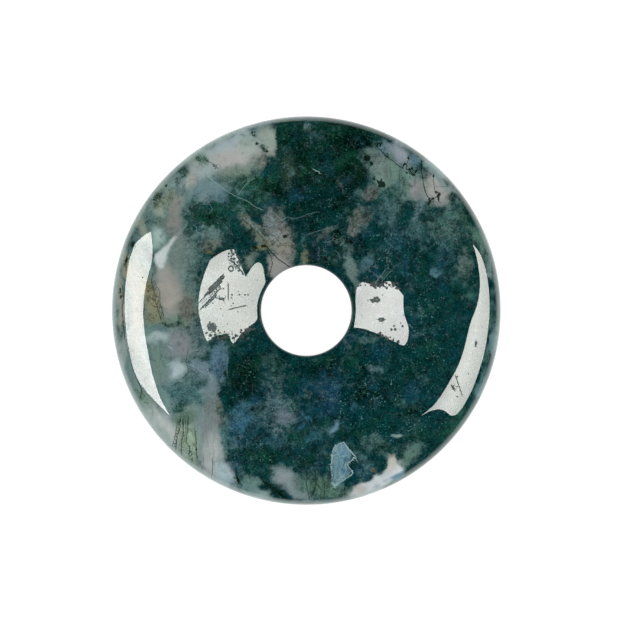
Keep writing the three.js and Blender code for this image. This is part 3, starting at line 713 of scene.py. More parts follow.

# Painted light: the pale glow of light through the thin rim and of what it mirrors, painted into the
# upper face's colour, by bearing from +X in degrees: the radius where its soft inner part starts, how
# much of that shows, and how much of the glow shows right at the edge
PAINTED_RIM_LIGHT_BY_BEARING = (
    (-180, 19.1, 0.35, 0.75), (-165, 19.2, 0.3, 0.65), (-150, 19.2, 0.3, 0.7), (-130, 19.3, 0.3, 0.7),
    (-112, 19.3, 0.25, 0.45), (-97, 19.4, 0.25, 0.55), (-84, 19.4, 0.2, 0.35), (-68, 19.4, 0.2, 0.6),
    (-52, 19.4, 0.15, 0.3), (-37, 19.4, 0.15, 0.35), (-22, 19.4, 0.2, 0.4), (-7, 19.2, 0.25, 0.55),
    (8, 19.4, 0.2, 0.45), (22, 19.4, 0.2, 0.5), (37, 19.5, 0.1, 0.25), (52, 19.4, 0.2, 0.4),
    (67, 19.5, 0.1, 0.2), (82, 19.5, 0.1, 0.25), (97, 19.4, 0.2, 0.4), (112, 19.1, 0.45, 0.6),
    (127, 19.2, 0.3, 0.5), (142, 19.3, 0.25, 0.35), (157, 19.2, 0.3, 0.55), (172, 19.1, 0.4, 0.75),
    (180, 19.1, 0.35, 0.75),
)

# How much of the table the rim mirrors, by bearing: its far side is dark where the table falls away
TABLE_GLEAM = (
    (-180, 0.95), (-120, 1.0), (-90, 0.95), (-60, 0.8), (-45, 0.8), (-30, 0.8), (-5, 0.9),
    (5, 0.95), (60, 0.95), (90, 1.1), (105, 1.2), (120, 1.1), (150, 0.95), (180, 0.95),
)

# How far out the rim mirrors the table, in millimetres from the axis, and how brightly: the edge itself
# glows, being thin, and further out the stone's surroundings are dark
TABLE_RINGS = ((20.2, 1.8), (23.0, 1.4), (26.0, 1.0), (36.0, 1.0), (52.0, 0.0), (2500.0, 0.0))
TABLE_TURN_STEPS = 72
TABLE_GAP = 0.1

# How chance bends the painted pattern: swirls of a size, each with the most it shifts, the shares of
# that shift which the crisp shapes and the leaves take, and how the pattern leans under the middle
SWIRLS = ((2.6, 0.4), (1.3, 0.35), (0.6, 0.2), (0.3, 0.08))
SHAPE_SHIFT = 0.25
LEAF_SHIFT = 0.06
LEAN = (0.9, -0.7, 0)

# Heights over the middle of the thickness between which the threads and leaves come to show
UPPER_FADE = (-0.5, 0.2)

# How far outside a thread its strength is nothing, and is still full, and in half widths how far off a
# point can be said to be
THREAD_MARGIN = (0.22, 0.1)
THREAD_LIMIT = 20

# The rim's painted light, a glow painted into its colour: how wide its soft inner part is, and where its
# edge begins and is full
PAINTED_RIM_LIGHT_WIDTH = 0.7
PAINTED_RIM_LIGHT_EDGE = (19.4, 19.8)

# How softly the grit stops at a mirrored light
GRIT_MARGIN = 0.15

# Sizes of what chance draws in the stone and its polish
MOSS_MASS = 2.0
MOSS_SHRED = 0.7
MOSS_GRAIN = 0.24
HUE_SPOT = 2.4
DARK_SPOT = 1.3
CLOUD_SIZE = 1.1
GRAIN_SIZE = 0.19
GRIT_SIZE = 0.2
GRIT_DRIFT = 1.2
OCHRE_GRAIN = 0.3
STREAK_WIDTH = 0.55
FINE_STREAK_WIDTH = 0.22
LEAF_TOOTH = 0.16
THREAD_WOBBLE = 0.22
PIT_SPACING = 0.3
GRINDING_STROKE = 0.28

# Curled fibres: the sizes and seeds of the noises that they follow, how finely each is bent, how wide a
# strand is at its foot and at its crest, and how the strands break off
Curls = namedtuple("Curls", "noises detail roughness bend foot crest gap_seed gap_size gap")
FELT_CURLS = Curls(
    ((2.0, 9), (1.2, 19), (0.8, 29)), 1, 0.4, 0.8, 0.02, 0.004, (2, 5, 50), 0.9, (0.42, 0.58)
)
WEB_CURLS = Curls(
    ((1.0, 39), (0.6, 49), (0.4, 59)), 2, 0.5, 1.2, 0.018, 0.006, (32, 15, 50), 0.5, (0.42, 0.6)
)

# Short straight hairs: what they grow with, how far apart they are, the longest half length, the half
# width, the share that shows, how strongly the plainest show, and a seed
HAIRS = (
    ("felt", 0.32, 0.3, 0.026, 0.75, 0.95, 3),
    ("felt", 0.5, 0.45, 0.026, 0.8, 1.0, 5),
    ("sparkle", 0.6, 0.28, 0.034, 0.65, 0.85, 0),
    ("sparkle", 1.1, 0.8, 0.024, 0.8, 0.6, 7),
    ("sparkle", 0.36, 0.1, 0.04, 0.5, 0.85, 11),
)

# The polish, the pits in it and the shade painted into their colour, and how light spreads inside the
# stone
POLISHED = 0.035
PITTED = 0.9
PIT_DEPTH = 0.05
PIT_PAINTED_SHADE = 0.3
REFRACTION = 1.54
TRANSLUCENCE = 0.3
SPREAD_BY_COLOUR = (0.9, 1.1, 1.1)
SPREAD = 0.8

# The camera and the photograph's frame. Its distances are in metres, as the table's and softboxes' are.
FRAME_PIXELS = 620
PIXELS_PER_MM = 9.725
AXIS_PIXEL_X = 306.3
AXIS_PIXEL_Y = 310.5
CAMERA_DISTANCE = 0.9
SENSOR_WIDTH = 36.0
NEAREST_SEEN = 0.01
FURTHEST_SEEN = 10

# The table, and the light from above
TABLE_HALF = 3.0
TABLE_GREY = (150, 150, 150)
TABLE_GLOW = 2.7
SUN_STRENGTH = 2.1
SUN_SPREAD = 24
SKY_STRENGTH = 0.36

# The two softboxes: how far they are, their colours and strengths, their outline as make_softbox takes
# it, and how much more their middle glows
SOFTBOX_DISTANCE = 2.0
LEFT_COLOUR = (255, 254, 250)
LEFT_STRENGTH = 12.6
RIGHT_COLOUR = (255, 255, 248)
RIGHT_STRENGTH = 11.97
SOFTBOX_OUTLINE = ((1.5, -34, 0.95), (1.5, 62, 0.65), (20, 62, 0.65), (34, 50, 0.75), (34, -34, 1.0))
SOFTBOX_MIDDLE = 1.27

# The windows of the black card that trims the softboxes' images, outlined where each is mirrored on
# the stone. A point given twice is a corner; elsewhere the outline bends evenly.
CARD_GAP = 0.1
CARD_RADIUS = 30.0
CARD_TURN_STEPS = 72
WINDOWS = (
    # Inner flank, left
    (
        (-10.32, -2.9), (-10.32, -2.9), (-10.7, -1.7), (-11.0, -0.3), (-11.04, 1.1), (-10.85, 2.3),
        (-10.5, 3.6), (-10.05, 4.75), (-9.8, 5.2), (-9.2, 5.65), (-8.5, 6.05), (-7.9, 6.25),
        (-7.45, 6.3), (-7.45, 6.3), (-7.1, 5.5), (-6.85, 4.85), (-6.5, 4.1), (-6.2, 3.45),
        (-6.2, 3.45), (-5.95, 3.9), (-5.55, 4.5), (-5.1, 4.9), (-4.7, 4.85), (-4.45, 4.4),
        (-4.3, 3.5), (-4.2, 2.7), (-4.4, 2.2), (-4.8, 1.3), (-4.97, 0.4), (-4.96, -0.7),
        (-4.96, -0.7), (-5.3, -1.2), (-5.9, -1.65), (-6.4, -2.15), (-6.85, -2.6), (-7.2, -3.1),
        (-7.5, -3.4), (-7.5, -3.4), (-7.75, -3.1), (-7.85, -2.7), (-8.2, -2.45), (-8.9, -2.5),
        (-9.5, -2.7), (-10.1, -3.15),
    ),
    # Inner flank, right
    (
        (5.15, 2.1), (5.4, 2.6), (5.75, 2.9), (6.3, 2.8), (7.0, 2.5), (7.7, 2.45), (8.0, 2.85),
        (8.4, 3.0), (8.9, 2.8), (9.5, 2.1), (9.98, 1.5), (9.98, 1.5), (9.95, 0.6), (10.05, -0.4),
        (10.35, -1.3), (10.5, -2.0), (10.4, -3.0), (10.1, -3.5), (9.8, -3.55), (9.2, -3.25),
        (8.4, -2.9), (7.6, -2.5), (6.8, -2.2), (6.0, -1.9), (5.4, -1.8), (4.9, -1.75),
        (4.9, -1.75), (5.0, -0.8), (5.07, 0.5), (5.08, 1.4),
    ),
    # Left crescent
    (
        (-15.95, 8.1), (-15.95, 8.1), (-15.78, 6.9), (-15.76, 5.8), (-15.95, 4.5), (-16.3, 3.2),
        (-16.58, 1.8), (-16.71, 0.3), (-16.71, -0.8), (-16.55, -2.4), (-16.25, -4.2), (-15.85, -6.2),
        (-15.3, -8.1), (-14.75, -9.4), (-14.05, -10.75), (-14.05, -10.75), (-14.8, -10.0),
        (-15.6, -9.2), (-16.5, -8.2), (-17.24, -7.2), (-17.7, -6.1), (-18.1, -4.6), (-18.4, -2.8),
        (-18.6, -0.7), (-18.64, 1.0), (-18.55, 2.8), (-18.27, 4.77), (-17.8, 6.4), (-17.4, 7.05),
        (-17.0, 7.4), (-16.5, 7.8),
    ),
    # Right crescent
    (
        (17.1, 6.8), (17.1, 6.8), (17.45, 5.6), (17.72, 4.1), (17.82, 2.8), (17.7, 1.4),
        (17.4, 0.2), (16.9, -1.1), (16.5, -2.6), (16.1, -4.2), (15.5, -5.8), (14.74, -7.2),
        (13.9, -8.6), (12.97, -9.8), (11.75, -10.8), (11.75, -10.8), (12.4, -10.45), (12.9, -10.25),
        (13.5, -10.12), (14.0, -10.2), (14.4, -10.45), (14.75, -10.75), (14.75, -10.75),
        (15.1, -10.78), (15.55, -10.55), (16.1, -9.9), (16.7, -8.9), (17.3, -7.5), (17.9, -5.7),
        (18.35, -4.0), (18.62, -2.3), (18.8, -0.6), (18.83, 0.8), (18.75, 2.4), (18.5, 4.1),
        (18.05, 5.4), (17.6, 6.2),
    ),
)


def linear(colour, amount=1.0):
    """A colour given as 0 to 255 in the display's curve, as the light it stands for."""
    parts = [c / 255 for c in colour[:3]]
    return [amount * (p / 12.92 if p <= 0.04045 else ((p + 0.055) / 1.055) ** 2.4) for p in parts]


def smooth_step(value, low, high):
    """0 below low, 1 above high and an even curve between. high may be the smaller."""
    t = np.clip((value - low) / (high - low), 0, 1)
    return t * t * (3 - 2 * t)


def arc(r, z, bend, from_angle, to_angle, steps):
    """Points of an arc about (r, z). An angle of 0 is straight up and a positive one leans outwards."""
    angles = [from_angle + (to_angle - from_angle) * i / steps for i in range(steps + 1)]
    return [(r + bend * math.sin(a), z + bend * math.cos(a)) for a in angles]


def flank_and_edge(crest_radius, flank_bend, flank_steps, edge_radius, edge_bend, edge_steps, side):
    """From the crest down a flank, then round an edge until it is upright. side: 1 rim, -1 hole."""
    run = side * (edge_radius - crest_radius)
    slope = math.asin((run - edge_bend) / (flank_bend - edge_bend))
    flank = arc(crest_radius, HALF_THICKNESS - flank_bend, flank_bend, 0, side * slope, flank_steps)
    meeting_r, meeting_z = flank[-1]
    edge = arc(
        meeting_r - side * edge_bend * math.sin(slope),
        meeting_z - edge_bend * math.cos(slope),
        edge_bend,
        side * slope,
        side * math.pi / 2,
        edge_steps,
    )
    return flank + edge[1:]


def half_section(steps):
    """The upper half of the section about the middle of the thickness, from the rim to the hole."""
    to_rim = flank_and_edge(
        CREST_OUTER_RADIUS, OUTER_FLANK_BEND, steps["outer flank"],
        OUTER_RADIUS, RIM_BEND, steps["rim"], 1,
    )
    to_hole = flank_and_edge(
        CREST_INNER_RADIUS, INNER_FLANK_BEND, steps["inner flank"],
        HOLE_RADIUS, LIP_BEND, steps["lip"], -1,
    )
    across = steps["crest"]
    width = CREST_OUTER_RADIUS - CREST_INNER_RADIUS
    crest = [(CREST_OUTER_RADIUS - width * i / across, HALF_THICKNESS) for i in range(1, across)]
    return to_rim[::-1] + crest + to_hole


def wall(top, bottom):
    """Points between the two ends of an upright wall, without the ends."""
    return [(top[0], top[1] + (bottom[1] - top[1]) * i / WALL_STEPS) for i in range(1, WALL_STEPS)]


def section():
    """The whole section as (radius, height) rows, from the rim over the top to the hole and back."""
    upper = half_section(UPPER_STEPS)
    lower = [(r, -z) for r, z in half_section(LOWER_STEPS)][::-1]
    rows = upper + wall(upper[-1], lower[0]) + lower + wall(lower[-1], upper[0])
    return np.array(rows) + (0, HALF_THICKNESS)


def ring_points(rows):
    """The section turned about the axis: one ring of points for each row."""
    turn = np.arange(TURN_STEPS) * 2 * math.pi / TURN_STEPS
    radius, height = rows[:, :1], rows[:, 1:]
    x, y = radius * np.cos(turn), radius * np.sin(turn)
    return np.stack([x, y, np.broadcast_to(height, x.shape)], axis=-1)


def drift(points, size, seed):
    """A smooth random shift for each point, about 1 at most, with swirls of the given size."""
    start = Vector((17.3, 5.1, 9.7)) * seed
    return np.array([noise.noise_vector(Vector(p) / size + start) for p in points])


def inside(patch, x, y, soft=0.6):
    """How far each point is inside an oval patch: 1 in its middle and 0 outside."""
    turn = math.radians(patch.turn)
    along = (x - patch.x) * math.cos(turn) + (y - patch.y) * math.sin(turn)
    across = (y - patch.y) * math.cos(turn) - (x - patch.x) * math.sin(turn)
    reach = np.hypot(along / patch.half_length, across / patch.half_width)
    return smooth_step(reach, 1 + soft, 1 - soft)


def paint_clouds(x, y):
    """The colour of the clear stone at each point, that of its moss, and the share the moss covers.
    Clouds are laid over one another in order."""
    stone = np.tile(linear(HAZE), (len(x), 1))
    moss = np.tile(linear(DARK_TEAL), (len(x), 1))
    cover = np.full(len(x), DARK_TEAL[3])
    for row in CLOUDS:
        cloud = Cloud(*row)
        amount = cloud.strength * inside(cloud, x, y)
        painted = moss if cloud.tint[3] >= MOSSY else stone
        painted += (np.array(linear(cloud.tint)) - painted) * amount[:, None]
        cover += (cloud.tint[3] - cover) * amount
    return stone, moss, cover


def gap_to_line(start, end, x, y):
    """How far each point is from the straight line between two places."""
    run_x, run_y = end[0] - start[0], end[1] - start[1]
    from_x, from_y = x - start[0], y - start[1]
    length = max(math.hypot(run_x, run_y), TINY)
    along = np.clip((from_x * run_x + from_y * run_y) / length ** 2, 0, 1)
    return np.hypot(from_x - along * run_x, from_y - along * run_y)


def inside_outline(outline, x, y, soft):
    """1 well inside a closed outline, 0 well outside and an even fade over twice the softness."""
    crossings = np.zeros(len(x), dtype=int)
    nearest = np.full(len(x), np.inf)
    for start, end in zip(outline, outline[1:] + outline[:1]):
        nearest = np.minimum(nearest, gap_to_line(start, end, x, y))
        spans = (start[1] > y) != (end[1] > y)
        slant = (end[0] - start[0]) / ((end[1] - start[1]) or TINY)
        crossings += spans & (x < start[0] + (y - start[1]) * slant)
    depth = np.where(crossings % 2 == 1, nearest, -nearest)
    return smooth_step(depth, -soft, soft)


def add_shapes(stone, cover, x, y):
    """Lays the crisper parts over the clouds' colours and shares."""
    for row in SHAPES:
        shape = Shape(*row)
        amount = shape.strength * inside_outline(shape.points, x, y, shape.soft)
        stone += (np.array(linear(shape.tint)) - stone) * amount[:, None]
        cover += (shape.tint[3] - cover) * amount


def densest(patches, x, y):
    """The thickest of the growths at each point."""
    density = np.zeros(len(x))
    for row in patches:
        patch = Growth(*row)
        density = np.maximum(density, patch.density * inside(patch, x, y))
    return density


def unlit(x, y):
    """1 where no light is mirrored and 0 where one is, so that pale grit doesn't show through it."""
    dark = np.ones(len(x))
    for window in WINDOWS:
        dark = dark * (1 - inside_outline(window, x, y, GRIT_MARGIN))
    return dark


def thread_field(threads, x, y):
    """Two values for each point: how many half widths it is to one side or the other of the nearest
    thread, and how strong that thread is here. The material draws its fine line from them."""
    nearest = np.full(len(x), np.inf)
    offset = np.full(len(x), np.inf)
    strength = np.zeros(len(x))
    outer, inner = THREAD_MARGIN
    for row in threads:
        thread = Thread(*row)
        for (x0, y0), (x1, y1) in zip(thread.points[:-1], thread.points[1:]):
            gap = gap_to_line((x0, y0), (x1, y1), x, y)
            side = np.sign((y - y0) * (x1 - x0) - (x - x0) * (y1 - y0))
            closer = gap - thread.width < nearest
            nearest = np.where(closer, gap - thread.width, nearest)
            offset = np.where(closer, gap / thread.width * side, offset)
            near = thread.strength * smooth_step(gap, thread.width + outer, thread.width + inner)
            strength = np.where(closer, near, strength)
    return np.clip(offset, -THREAD_LIMIT, THREAD_LIMIT), strength


def painted_rim_light(x, y):
    """How much painted light, the pale glow of the thin rim painted into the colour, shows at each point
    of the upper face.
    """
    r = np.hypot(x, y)
    bearing = np.degrees(np.arctan2(y, x))
    angles, starts, amounts, edges = np.array(PAINTED_RIM_LIGHT_BY_BEARING).T
    start = np.interp(bearing, angles, starts)
    band = np.interp(bearing, angles, amounts) * smooth_step(r, start, start + PAINTED_RIM_LIGHT_WIDTH)
    edge = np.interp(bearing, angles, edges) * smooth_step(r, *PAINTED_RIM_LIGHT_EDGE)
    return 1 - (1 - band) * (1 - edge)


def paint(mesh, points):
    """Stores the listed parts of the pattern in the mesh, for the material to break up finely."""
    noise.seed_set(NOISE_SEED)
    shift = np.zeros_like(points)
    for seed, (size, amount) in enumerate(SWIRLS, start=1):
        shift = shift + drift(points, size, seed) * amount
    # Under the middle the clouds lean away, as they do in a stone cut across its layers.
    depth = (HALF_THICKNESS - points[:, 2:]) / HALF_THICKNESS
    spot = points + shift + np.clip(depth, 0, 2) * np.array(LEAN)
    x, y = spot[:, 0], spot[:, 1]
    stone, moss, cover = paint_clouds(x, y)
    still = points + shift * SHAPE_SHIFT
    leaf_spot = points + shift * LEAF_SHIFT
    add_shapes(stone, cover, still[:, 0], still[:, 1])
    top = smooth_step(points[:, 2] - HALF_THICKNESS, *UPPER_FADE)
    true_x, true_y = points[:, 0], points[:, 1]
    dark_offset, dark_strength = thread_field(DARK_THREADS, true_x, true_y)
    pale_offset, pale_strength = thread_field(PALE_THREADS, true_x, true_y)
    scratch_offset, scratch_strength = thread_field(SCRATCHES, true_x, true_y)
    layers = {
        # The fourth value of the stone layer is the painted rim light: the glow of the thin rim, painted
        # into the colour
        "stone": (*stone.T, painted_rim_light(true_x, true_y)),
        "moss": (*moss.T, cover),
        "growth": (
            densest(MOSS, x, y),
            densest(FELT, x, y),
            densest(WEAR, true_x, true_y),
            densest(OCHRE_SPOTS, x, y),
        ),
        "threads": (dark_offset, dark_strength * top, pale_offset, pale_strength * top),
        "scratches": (scratch_offset, scratch_strength * top, 0 * x, 0 * x),
        "fabric": (
            densest(WEBS, x, y),
            densest(STREAKS, x, y),
            densest(SPARKLE, true_x, true_y) * unlit(true_x, true_y),
            densest(LEAVES, leaf_spot[:, 0], leaf_spot[:, 1]) * top,
        ),
    }
    for name, columns in layers.items():
        values = np.column_stack(columns).astype(np.float32)
        layer = mesh.attributes.new(name, "FLOAT_COLOR", "POINT")
        layer.data.foreach_set("color", values.ravel())


def stone_mesh():
    """The section turned about the axis as one closed mesh, with the pattern painted into it."""
    rows = section()
    grid = ring_points(rows)
    points = grid.reshape(-1, 3)
    row_count = len(rows)
    row = np.arange(row_count)[:, None] * TURN_STEPS
    next_row = (np.arange(row_count)[:, None] + 1) % row_count * TURN_STEPS
    column = np.arange(TURN_STEPS)[None, :]
    next_column = (column + 1) % TURN_STEPS
    faces = np.stack(
        [row + column, next_row + column, next_row + next_column, row + next_column], axis=-1
    ).reshape(-1, 4)
    mesh = bpy.data.meshes.new("moss_agate")
    mesh.from_pydata((points * MM).tolist(), [], faces[:, ::-1].tolist())
    mesh.polygons.foreach_set("use_smooth", np.ones(len(faces), dtype=bool))
    paint(mesh, points)
    mesh.update()
    return mesh


class Shader:
    """Short ways to add and join a material's nodes. Each gives an output, or takes one or a number."""

    def __init__(self, name):
        self.material = bpy.data.materials.new(name)
        self.material.use_nodes = True
        self.nodes = self.material.node_tree.nodes
        self.links = self.material.node_tree.links
        self.nodes.clear()

    def add(self, kind, values=(), **settings):
        node = self.nodes.new(kind)
        for name, setting in settings.items():
            setattr(node, name, setting)
        for socket, value in dict(values).items():
            self.set(node.inputs[socket], value)
        return node

    def set(self, socket, value):
        if isinstance(value, bpy.types.NodeSocket):
            self.links.new(value, socket)
        elif value is not None:
            socket.default_value = value

    def painted(self, name):
        """The four values that the mesh keeps under a name."""
        node = self.add("ShaderNodeAttribute", attribute_name=name)
        parts = self.add("ShaderNodeSeparateColor", {0: node.outputs["Color"]}).outputs
        return parts[0], parts[1], parts[2], node.outputs["Alpha"]

    def painted_colour(self, name):
        """The colour that the mesh keeps under a name, and the fourth value with it."""
        node = self.add("ShaderNodeAttribute", attribute_name=name)
        return node.outputs["Color"], node.outputs["Alpha"]

    def math(self, operation, a, b=None):
        return self.add("ShaderNodeMath", {0: a, 1: b}, operation=operation).outputs[0]

    def product(self, *values):
        total = values[0]
        for value in values[1:]:
            total = self.math("MULTIPLY", total, value)
        return total

    def total(self, *values):
        total = values[0]
        for value in values[1:]:
            total = self.math("ADD", total, value)
        return total

    def swing(self, value, *amounts):
        """How far a noise's value is over or under its middle, times some amounts."""
        return self.product(self.math("SUBTRACT", value, 0.5), *amounts)

    def vector(self, operation, a, b=None, scale=None):
        node = self.add("ShaderNodeVectorMath", {0: a, 1: b, 3: scale}, operation=operation)
        return node.outputs["Value" if operation in ("DOT_PRODUCT", "DISTANCE") else "Vector"]

    def mix(self, amount, a, b):
        """Colours a and b mixed by an amount from 0 to 1."""
        a = a if isinstance(a, bpy.types.NodeSocket) else (*a, 1)
        b = b if isinstance(b, bpy.types.NodeSocket) else (*b, 1)
        return self.add("ShaderNodeMix", {0: amount, 6: a, 7: b}, data_type="RGBA").outputs[2]

    def fade(self, value, low, high, to_low=0.0, to_high=1.0):
        """An even curve from to_low at low to to_high at high."""
        values = {"Value": value, "From Min": low, "From Max": high, "To Min": to_low, "To Max": to_high}
        return self.add("ShaderNodeMapRange", values, interpolation_type="SMOOTHSTEP").outputs[0]

    def noise(self, place, size, detail=2.0, roughness=0.55, bend=0.0):
        """Noise with grains of about the given size in millimetres, from 0 to 1 about 0.5."""
        values = {
            "Vector": place, "Scale": 1 / size, "Detail": detail,
            "Roughness": roughness, "Distortion": bend,
        }
        return self.add("ShaderNodeTexNoise", values).outputs[0]

    def shifted(self, place, x, y, z):
        return self.vector("ADD", place, (x, y, z))

    def finished(self, surface):
        """The material, with the node of its surface joined up."""
        out = self.add("ShaderNodeOutputMaterial")
        self.links.new(surface.outputs[0], out.inputs["Surface"])
        return self.material

    def line(self, offset, strength, wobble):
        """The fine line of a painted thread, its edges pushed about by the wobble."""
        reach = self.math("ABSOLUTE", self.math("ADD", offset, wobble))
        return self.math("MULTIPLY", strength, self.fade(reach, 1.25, 0.6))


def add_moss(s, place, stone, moss, cover, clumps):
    """The moss over the clear stone: soft where it lies deep, and in crisp grains near the surface."""
    broad = s.noise(s.shifted(place, 3, 11, 5), MOSS_MASS, detail=4, roughness=0.55, bend=0.6)
    shreds = s.noise(s.shifted(place, 23, 1, 15), MOSS_SHRED, detail=3, roughness=0.6, bend=0.3)
    fine = s.noise(s.shifted(place, 5, 17, 25), MOSS_GRAIN, detail=3, roughness=0.75)
    depth = s.total(cover, s.swing(broad, 1.3), s.swing(shreds))
    hue = s.noise(s.shifted(place, 51, 9, 31), HUE_SPOT, detail=4, roughness=0.6, bend=0.4)
    darkest = s.noise(s.shifted(place, 61, 29, 3), DARK_SPOT, detail=4, roughness=0.65, bend=0.5)
    moss = s.mix(s.fade(hue, 0.52, 0.72, 0.0, 0.6), moss, linear(BLUE_MOSS))
    moss = s.mix(s.fade(hue, 0.48, 0.3, 0.0, 0.6), moss, linear(GREEN_MOSS))
    moss = s.mix(s.fade(darkest, 0.5, 0.3, 0.0, 0.8), moss, linear(BLACK_GREEN))
    tint = s.mix(s.fade(depth, 0.16, 0.84), stone, moss)
    thickness = s.total(s.product(shreds, 0.35), s.product(fine, 0.65), s.product(clumps, 0.5))
    clump = s.fade(thickness, 0.79, 0.86)
    clump_tint = s.mix(s.fade(fine, 0.45, 0.65), linear(MOSS_DARK), linear(MOSS_GREEN))
    return s.mix(s.product(clump, 0.75), tint, clump_tint)


def add_tone(s, place, tint, paleness):
    """Soft clouds and a fine grain within the tints, strongest in the dark."""
    cloud = s.noise(place, CLOUD_SIZE, detail=5, roughness=0.65, bend=0.5)
    cloud = s.swing(cloud, s.fade(paleness, 0, 1, 2.0, 0.5))
    grain = s.noise(s.shifted(place, 40, 3, 8), GRAIN_SIZE, detail=2, roughness=0.8)
    grain = s.swing(grain, s.fade(paleness, 0, 1, 3.6, 0.35))
    tone = s.math("MAXIMUM", s.total(cloud, grain, 1.0), 0.3)
    return s.vector("SCALE", tint, scale=tone)


def add_specks(s, place, tint, paleness, sparkle):
    """Fine pale grit, in drifts, through the dark parts."""
    grit = s.noise(s.shifted(place, 13, 27, 5), GRIT_SIZE, detail=1, roughness=0.6)
    drifts = s.noise(s.shifted(place, 3, 41, 6), GRIT_DRIFT, detail=4, roughness=0.75)
    bar = s.fade(drifts, 0.36, 0.64, 0.73, 0.6)
    amount = s.product(
        s.fade(s.math("SUBTRACT", grit, bar), 0.0, 0.07),
        s.fade(paleness, 0.8, 0.1, 0.15, 1.0),
        s.fade(sparkle, 0.0, 0.9, 0.4, 1.0),
    )
    return s.mix(amount, tint, linear(GRIT))


def add_ochre(s, place, tint, ochre):
    """Grains of ochre, in clumps."""
    clumps = s.noise(s.shifted(place, 8, 8, 8), OCHRE_GRAIN, detail=3, roughness=0.7)
    amount = s.fade(s.total(clumps, s.product(ochre, 0.5)), 0.7, 0.9)
    amount = s.product(amount, s.fade(ochre, 0.02, 0.2), 0.5)
    return s.mix(amount, tint, linear(OCHRE))


def strands(s, place, curls):
    """Curled fibres, which lie where noises cross their middle value, broken off here and there."""
    drawn = None
    for size, seed in curls.noises:
        spot = s.shifted(place, seed, 2 * seed, 2)
        curl = s.noise(spot, size, curls.detail, curls.roughness, curls.bend)
        off = s.math("ABSOLUTE", s.swing(curl))
        strand = s.fade(off, curls.foot / size, curls.crest / size)
        drawn = strand if drawn is None else s.math("MAXIMUM", drawn, strand)
    gaps = s.noise(s.shifted(place, *curls.gap_seed), curls.gap_size, detail=3)
    return s.product(drawn, s.fade(gaps, *curls.gap))


def add_felt(s, place, tint, felt):
    """Curled pale fibres."""
    amount = s.product(strands(s, place, FELT_CURLS), s.fade(felt, 0.15, 0.8, 0.05, 0.35))
    return s.mix(amount, tint, linear(THREAD_PALE))


def add_hairs(s, place, tint, growth, apart, longest, half_width, share, strength, seed):
    """Short straight hairs, each turned its own way, a given distance apart."""
    place = s.shifted(place, seed, 2 * seed, 0)
    cells = s.add("ShaderNodeTexVoronoi", {"Vector": place, "Scale": 1 / apart}, feature="F1")
    chance = s.add("ShaderNodeSeparateColor", {0: cells.outputs["Color"]}).outputs
    lean = s.product(chance[0], 2 * math.pi)
    away = s.vector("SUBTRACT", place, s.vector("SCALE", cells.outputs["Position"], scale=apart))
    way = s.add("ShaderNodeCombineXYZ", {0: s.math("COSINE", lean), 1: s.math("SINE", lean)}).outputs[0]
    along = s.vector("DOT_PRODUCT", away, way)
    across = s.vector("DISTANCE", away, s.vector("SCALE", way, scale=along))
    length = s.fade(chance[1], 0.3, 1.0, half_width, longest)
    hair = s.product(
        s.fade(across, half_width * 1.3, half_width * 0.5),
        s.fade(s.math("SUBTRACT", s.math("ABSOLUTE", along), length), 0.06, 0.0),
        s.fade(chance[2], 1 - share, 1.0, 0.0, strength),
        growth,
    )
    return s.mix(hair, tint, linear(SPARK))


def add_web(s, place, tint, web):
    """Curled dark fibres, as in the mossy and rusty felts."""
    amount = s.product(strands(s, place, WEB_CURLS), s.fade(web, 0.1, 1.0, 0.0, 0.8))
    return s.mix(amount, tint, linear(WEB_DARK))


def add_streaks(s, place, tint, streaks):
    """Upright streaks, some darker than the stone and some paler."""
    drawn = s.add("ShaderNodeMapping", {"Vector": place, 3: (1, 0.14, 1)}).outputs[0]
    broad = s.noise(drawn, STREAK_WIDTH, detail=4, roughness=0.7, bend=0.4)
    tone = s.total(1.0, s.swing(broad, streaks, 2.2))
    fine = s.noise(s.shifted(drawn, 7, 3, 1), FINE_STREAK_WIDTH, detail=2, roughness=0.6, bend=0.3)
    dark = s.product(s.fade(fine, 0.6, 0.72), s.fade(streaks, 0.3, 1.0, 0.0, 0.7))
    tint = s.vector("SCALE", tint, scale=s.math("MAXIMUM", tone, 0.4))
    return s.mix(dark, tint, linear(MOSS_GREEN))


def add_leaves(s, place, tint, leaves):
    """Small dark leaves near the surface, with ragged edges."""
    ragged = s.noise(s.shifted(place, 71, 3, 9), LEAF_TOOTH, detail=2, roughness=0.6)
    amount = s.total(leaves, s.swing(ragged, 1.2))
    leaf = s.mix(s.fade(leaves, 0.7, 0.5), linear(LEAF_DARK), linear(LEAF_GREEN))
    return s.mix(s.fade(amount, 0.42, 0.62, 0.0, 0.93), tint, leaf)


def add_wear(s, place, wear, scratch):
    """The pits and scratches, from 0 on the polish to 1 in them."""
    spot = s.shifted(place, 4, 2, 0)
    pits = s.add("ShaderNodeTexVoronoi", {"Vector": spot, "Scale": 1 / PIT_SPACING})
    size = s.add("ShaderNodeSeparateColor", {0: pits.outputs["Color"]}).outputs[1]
    size = s.math("SUBTRACT", s.product(wear, 0.9), s.product(size, 0.62))
    pit = s.fade(s.math("SUBTRACT", s.product(pits.outputs["Distance"], 0.8), size), 0.02, -0.05)
    # Strokes lean at 45 degrees, as the grinding left them.
    leaning = s.add("ShaderNodeMapping", {"Vector": place, 2: (0, 0, math.radians(-45)), 3: (0.3, 1, 1)})
    strokes = s.noise(leaning.outputs[0], GRINDING_STROKE, detail=3, roughness=0.7)
    rough = s.fade(s.total(wear, s.swing(strokes, 1.6)), 0.82, 0.9)
    return s.math("MAXIMUM", s.math("MAXIMUM", pit, rough), scratch)


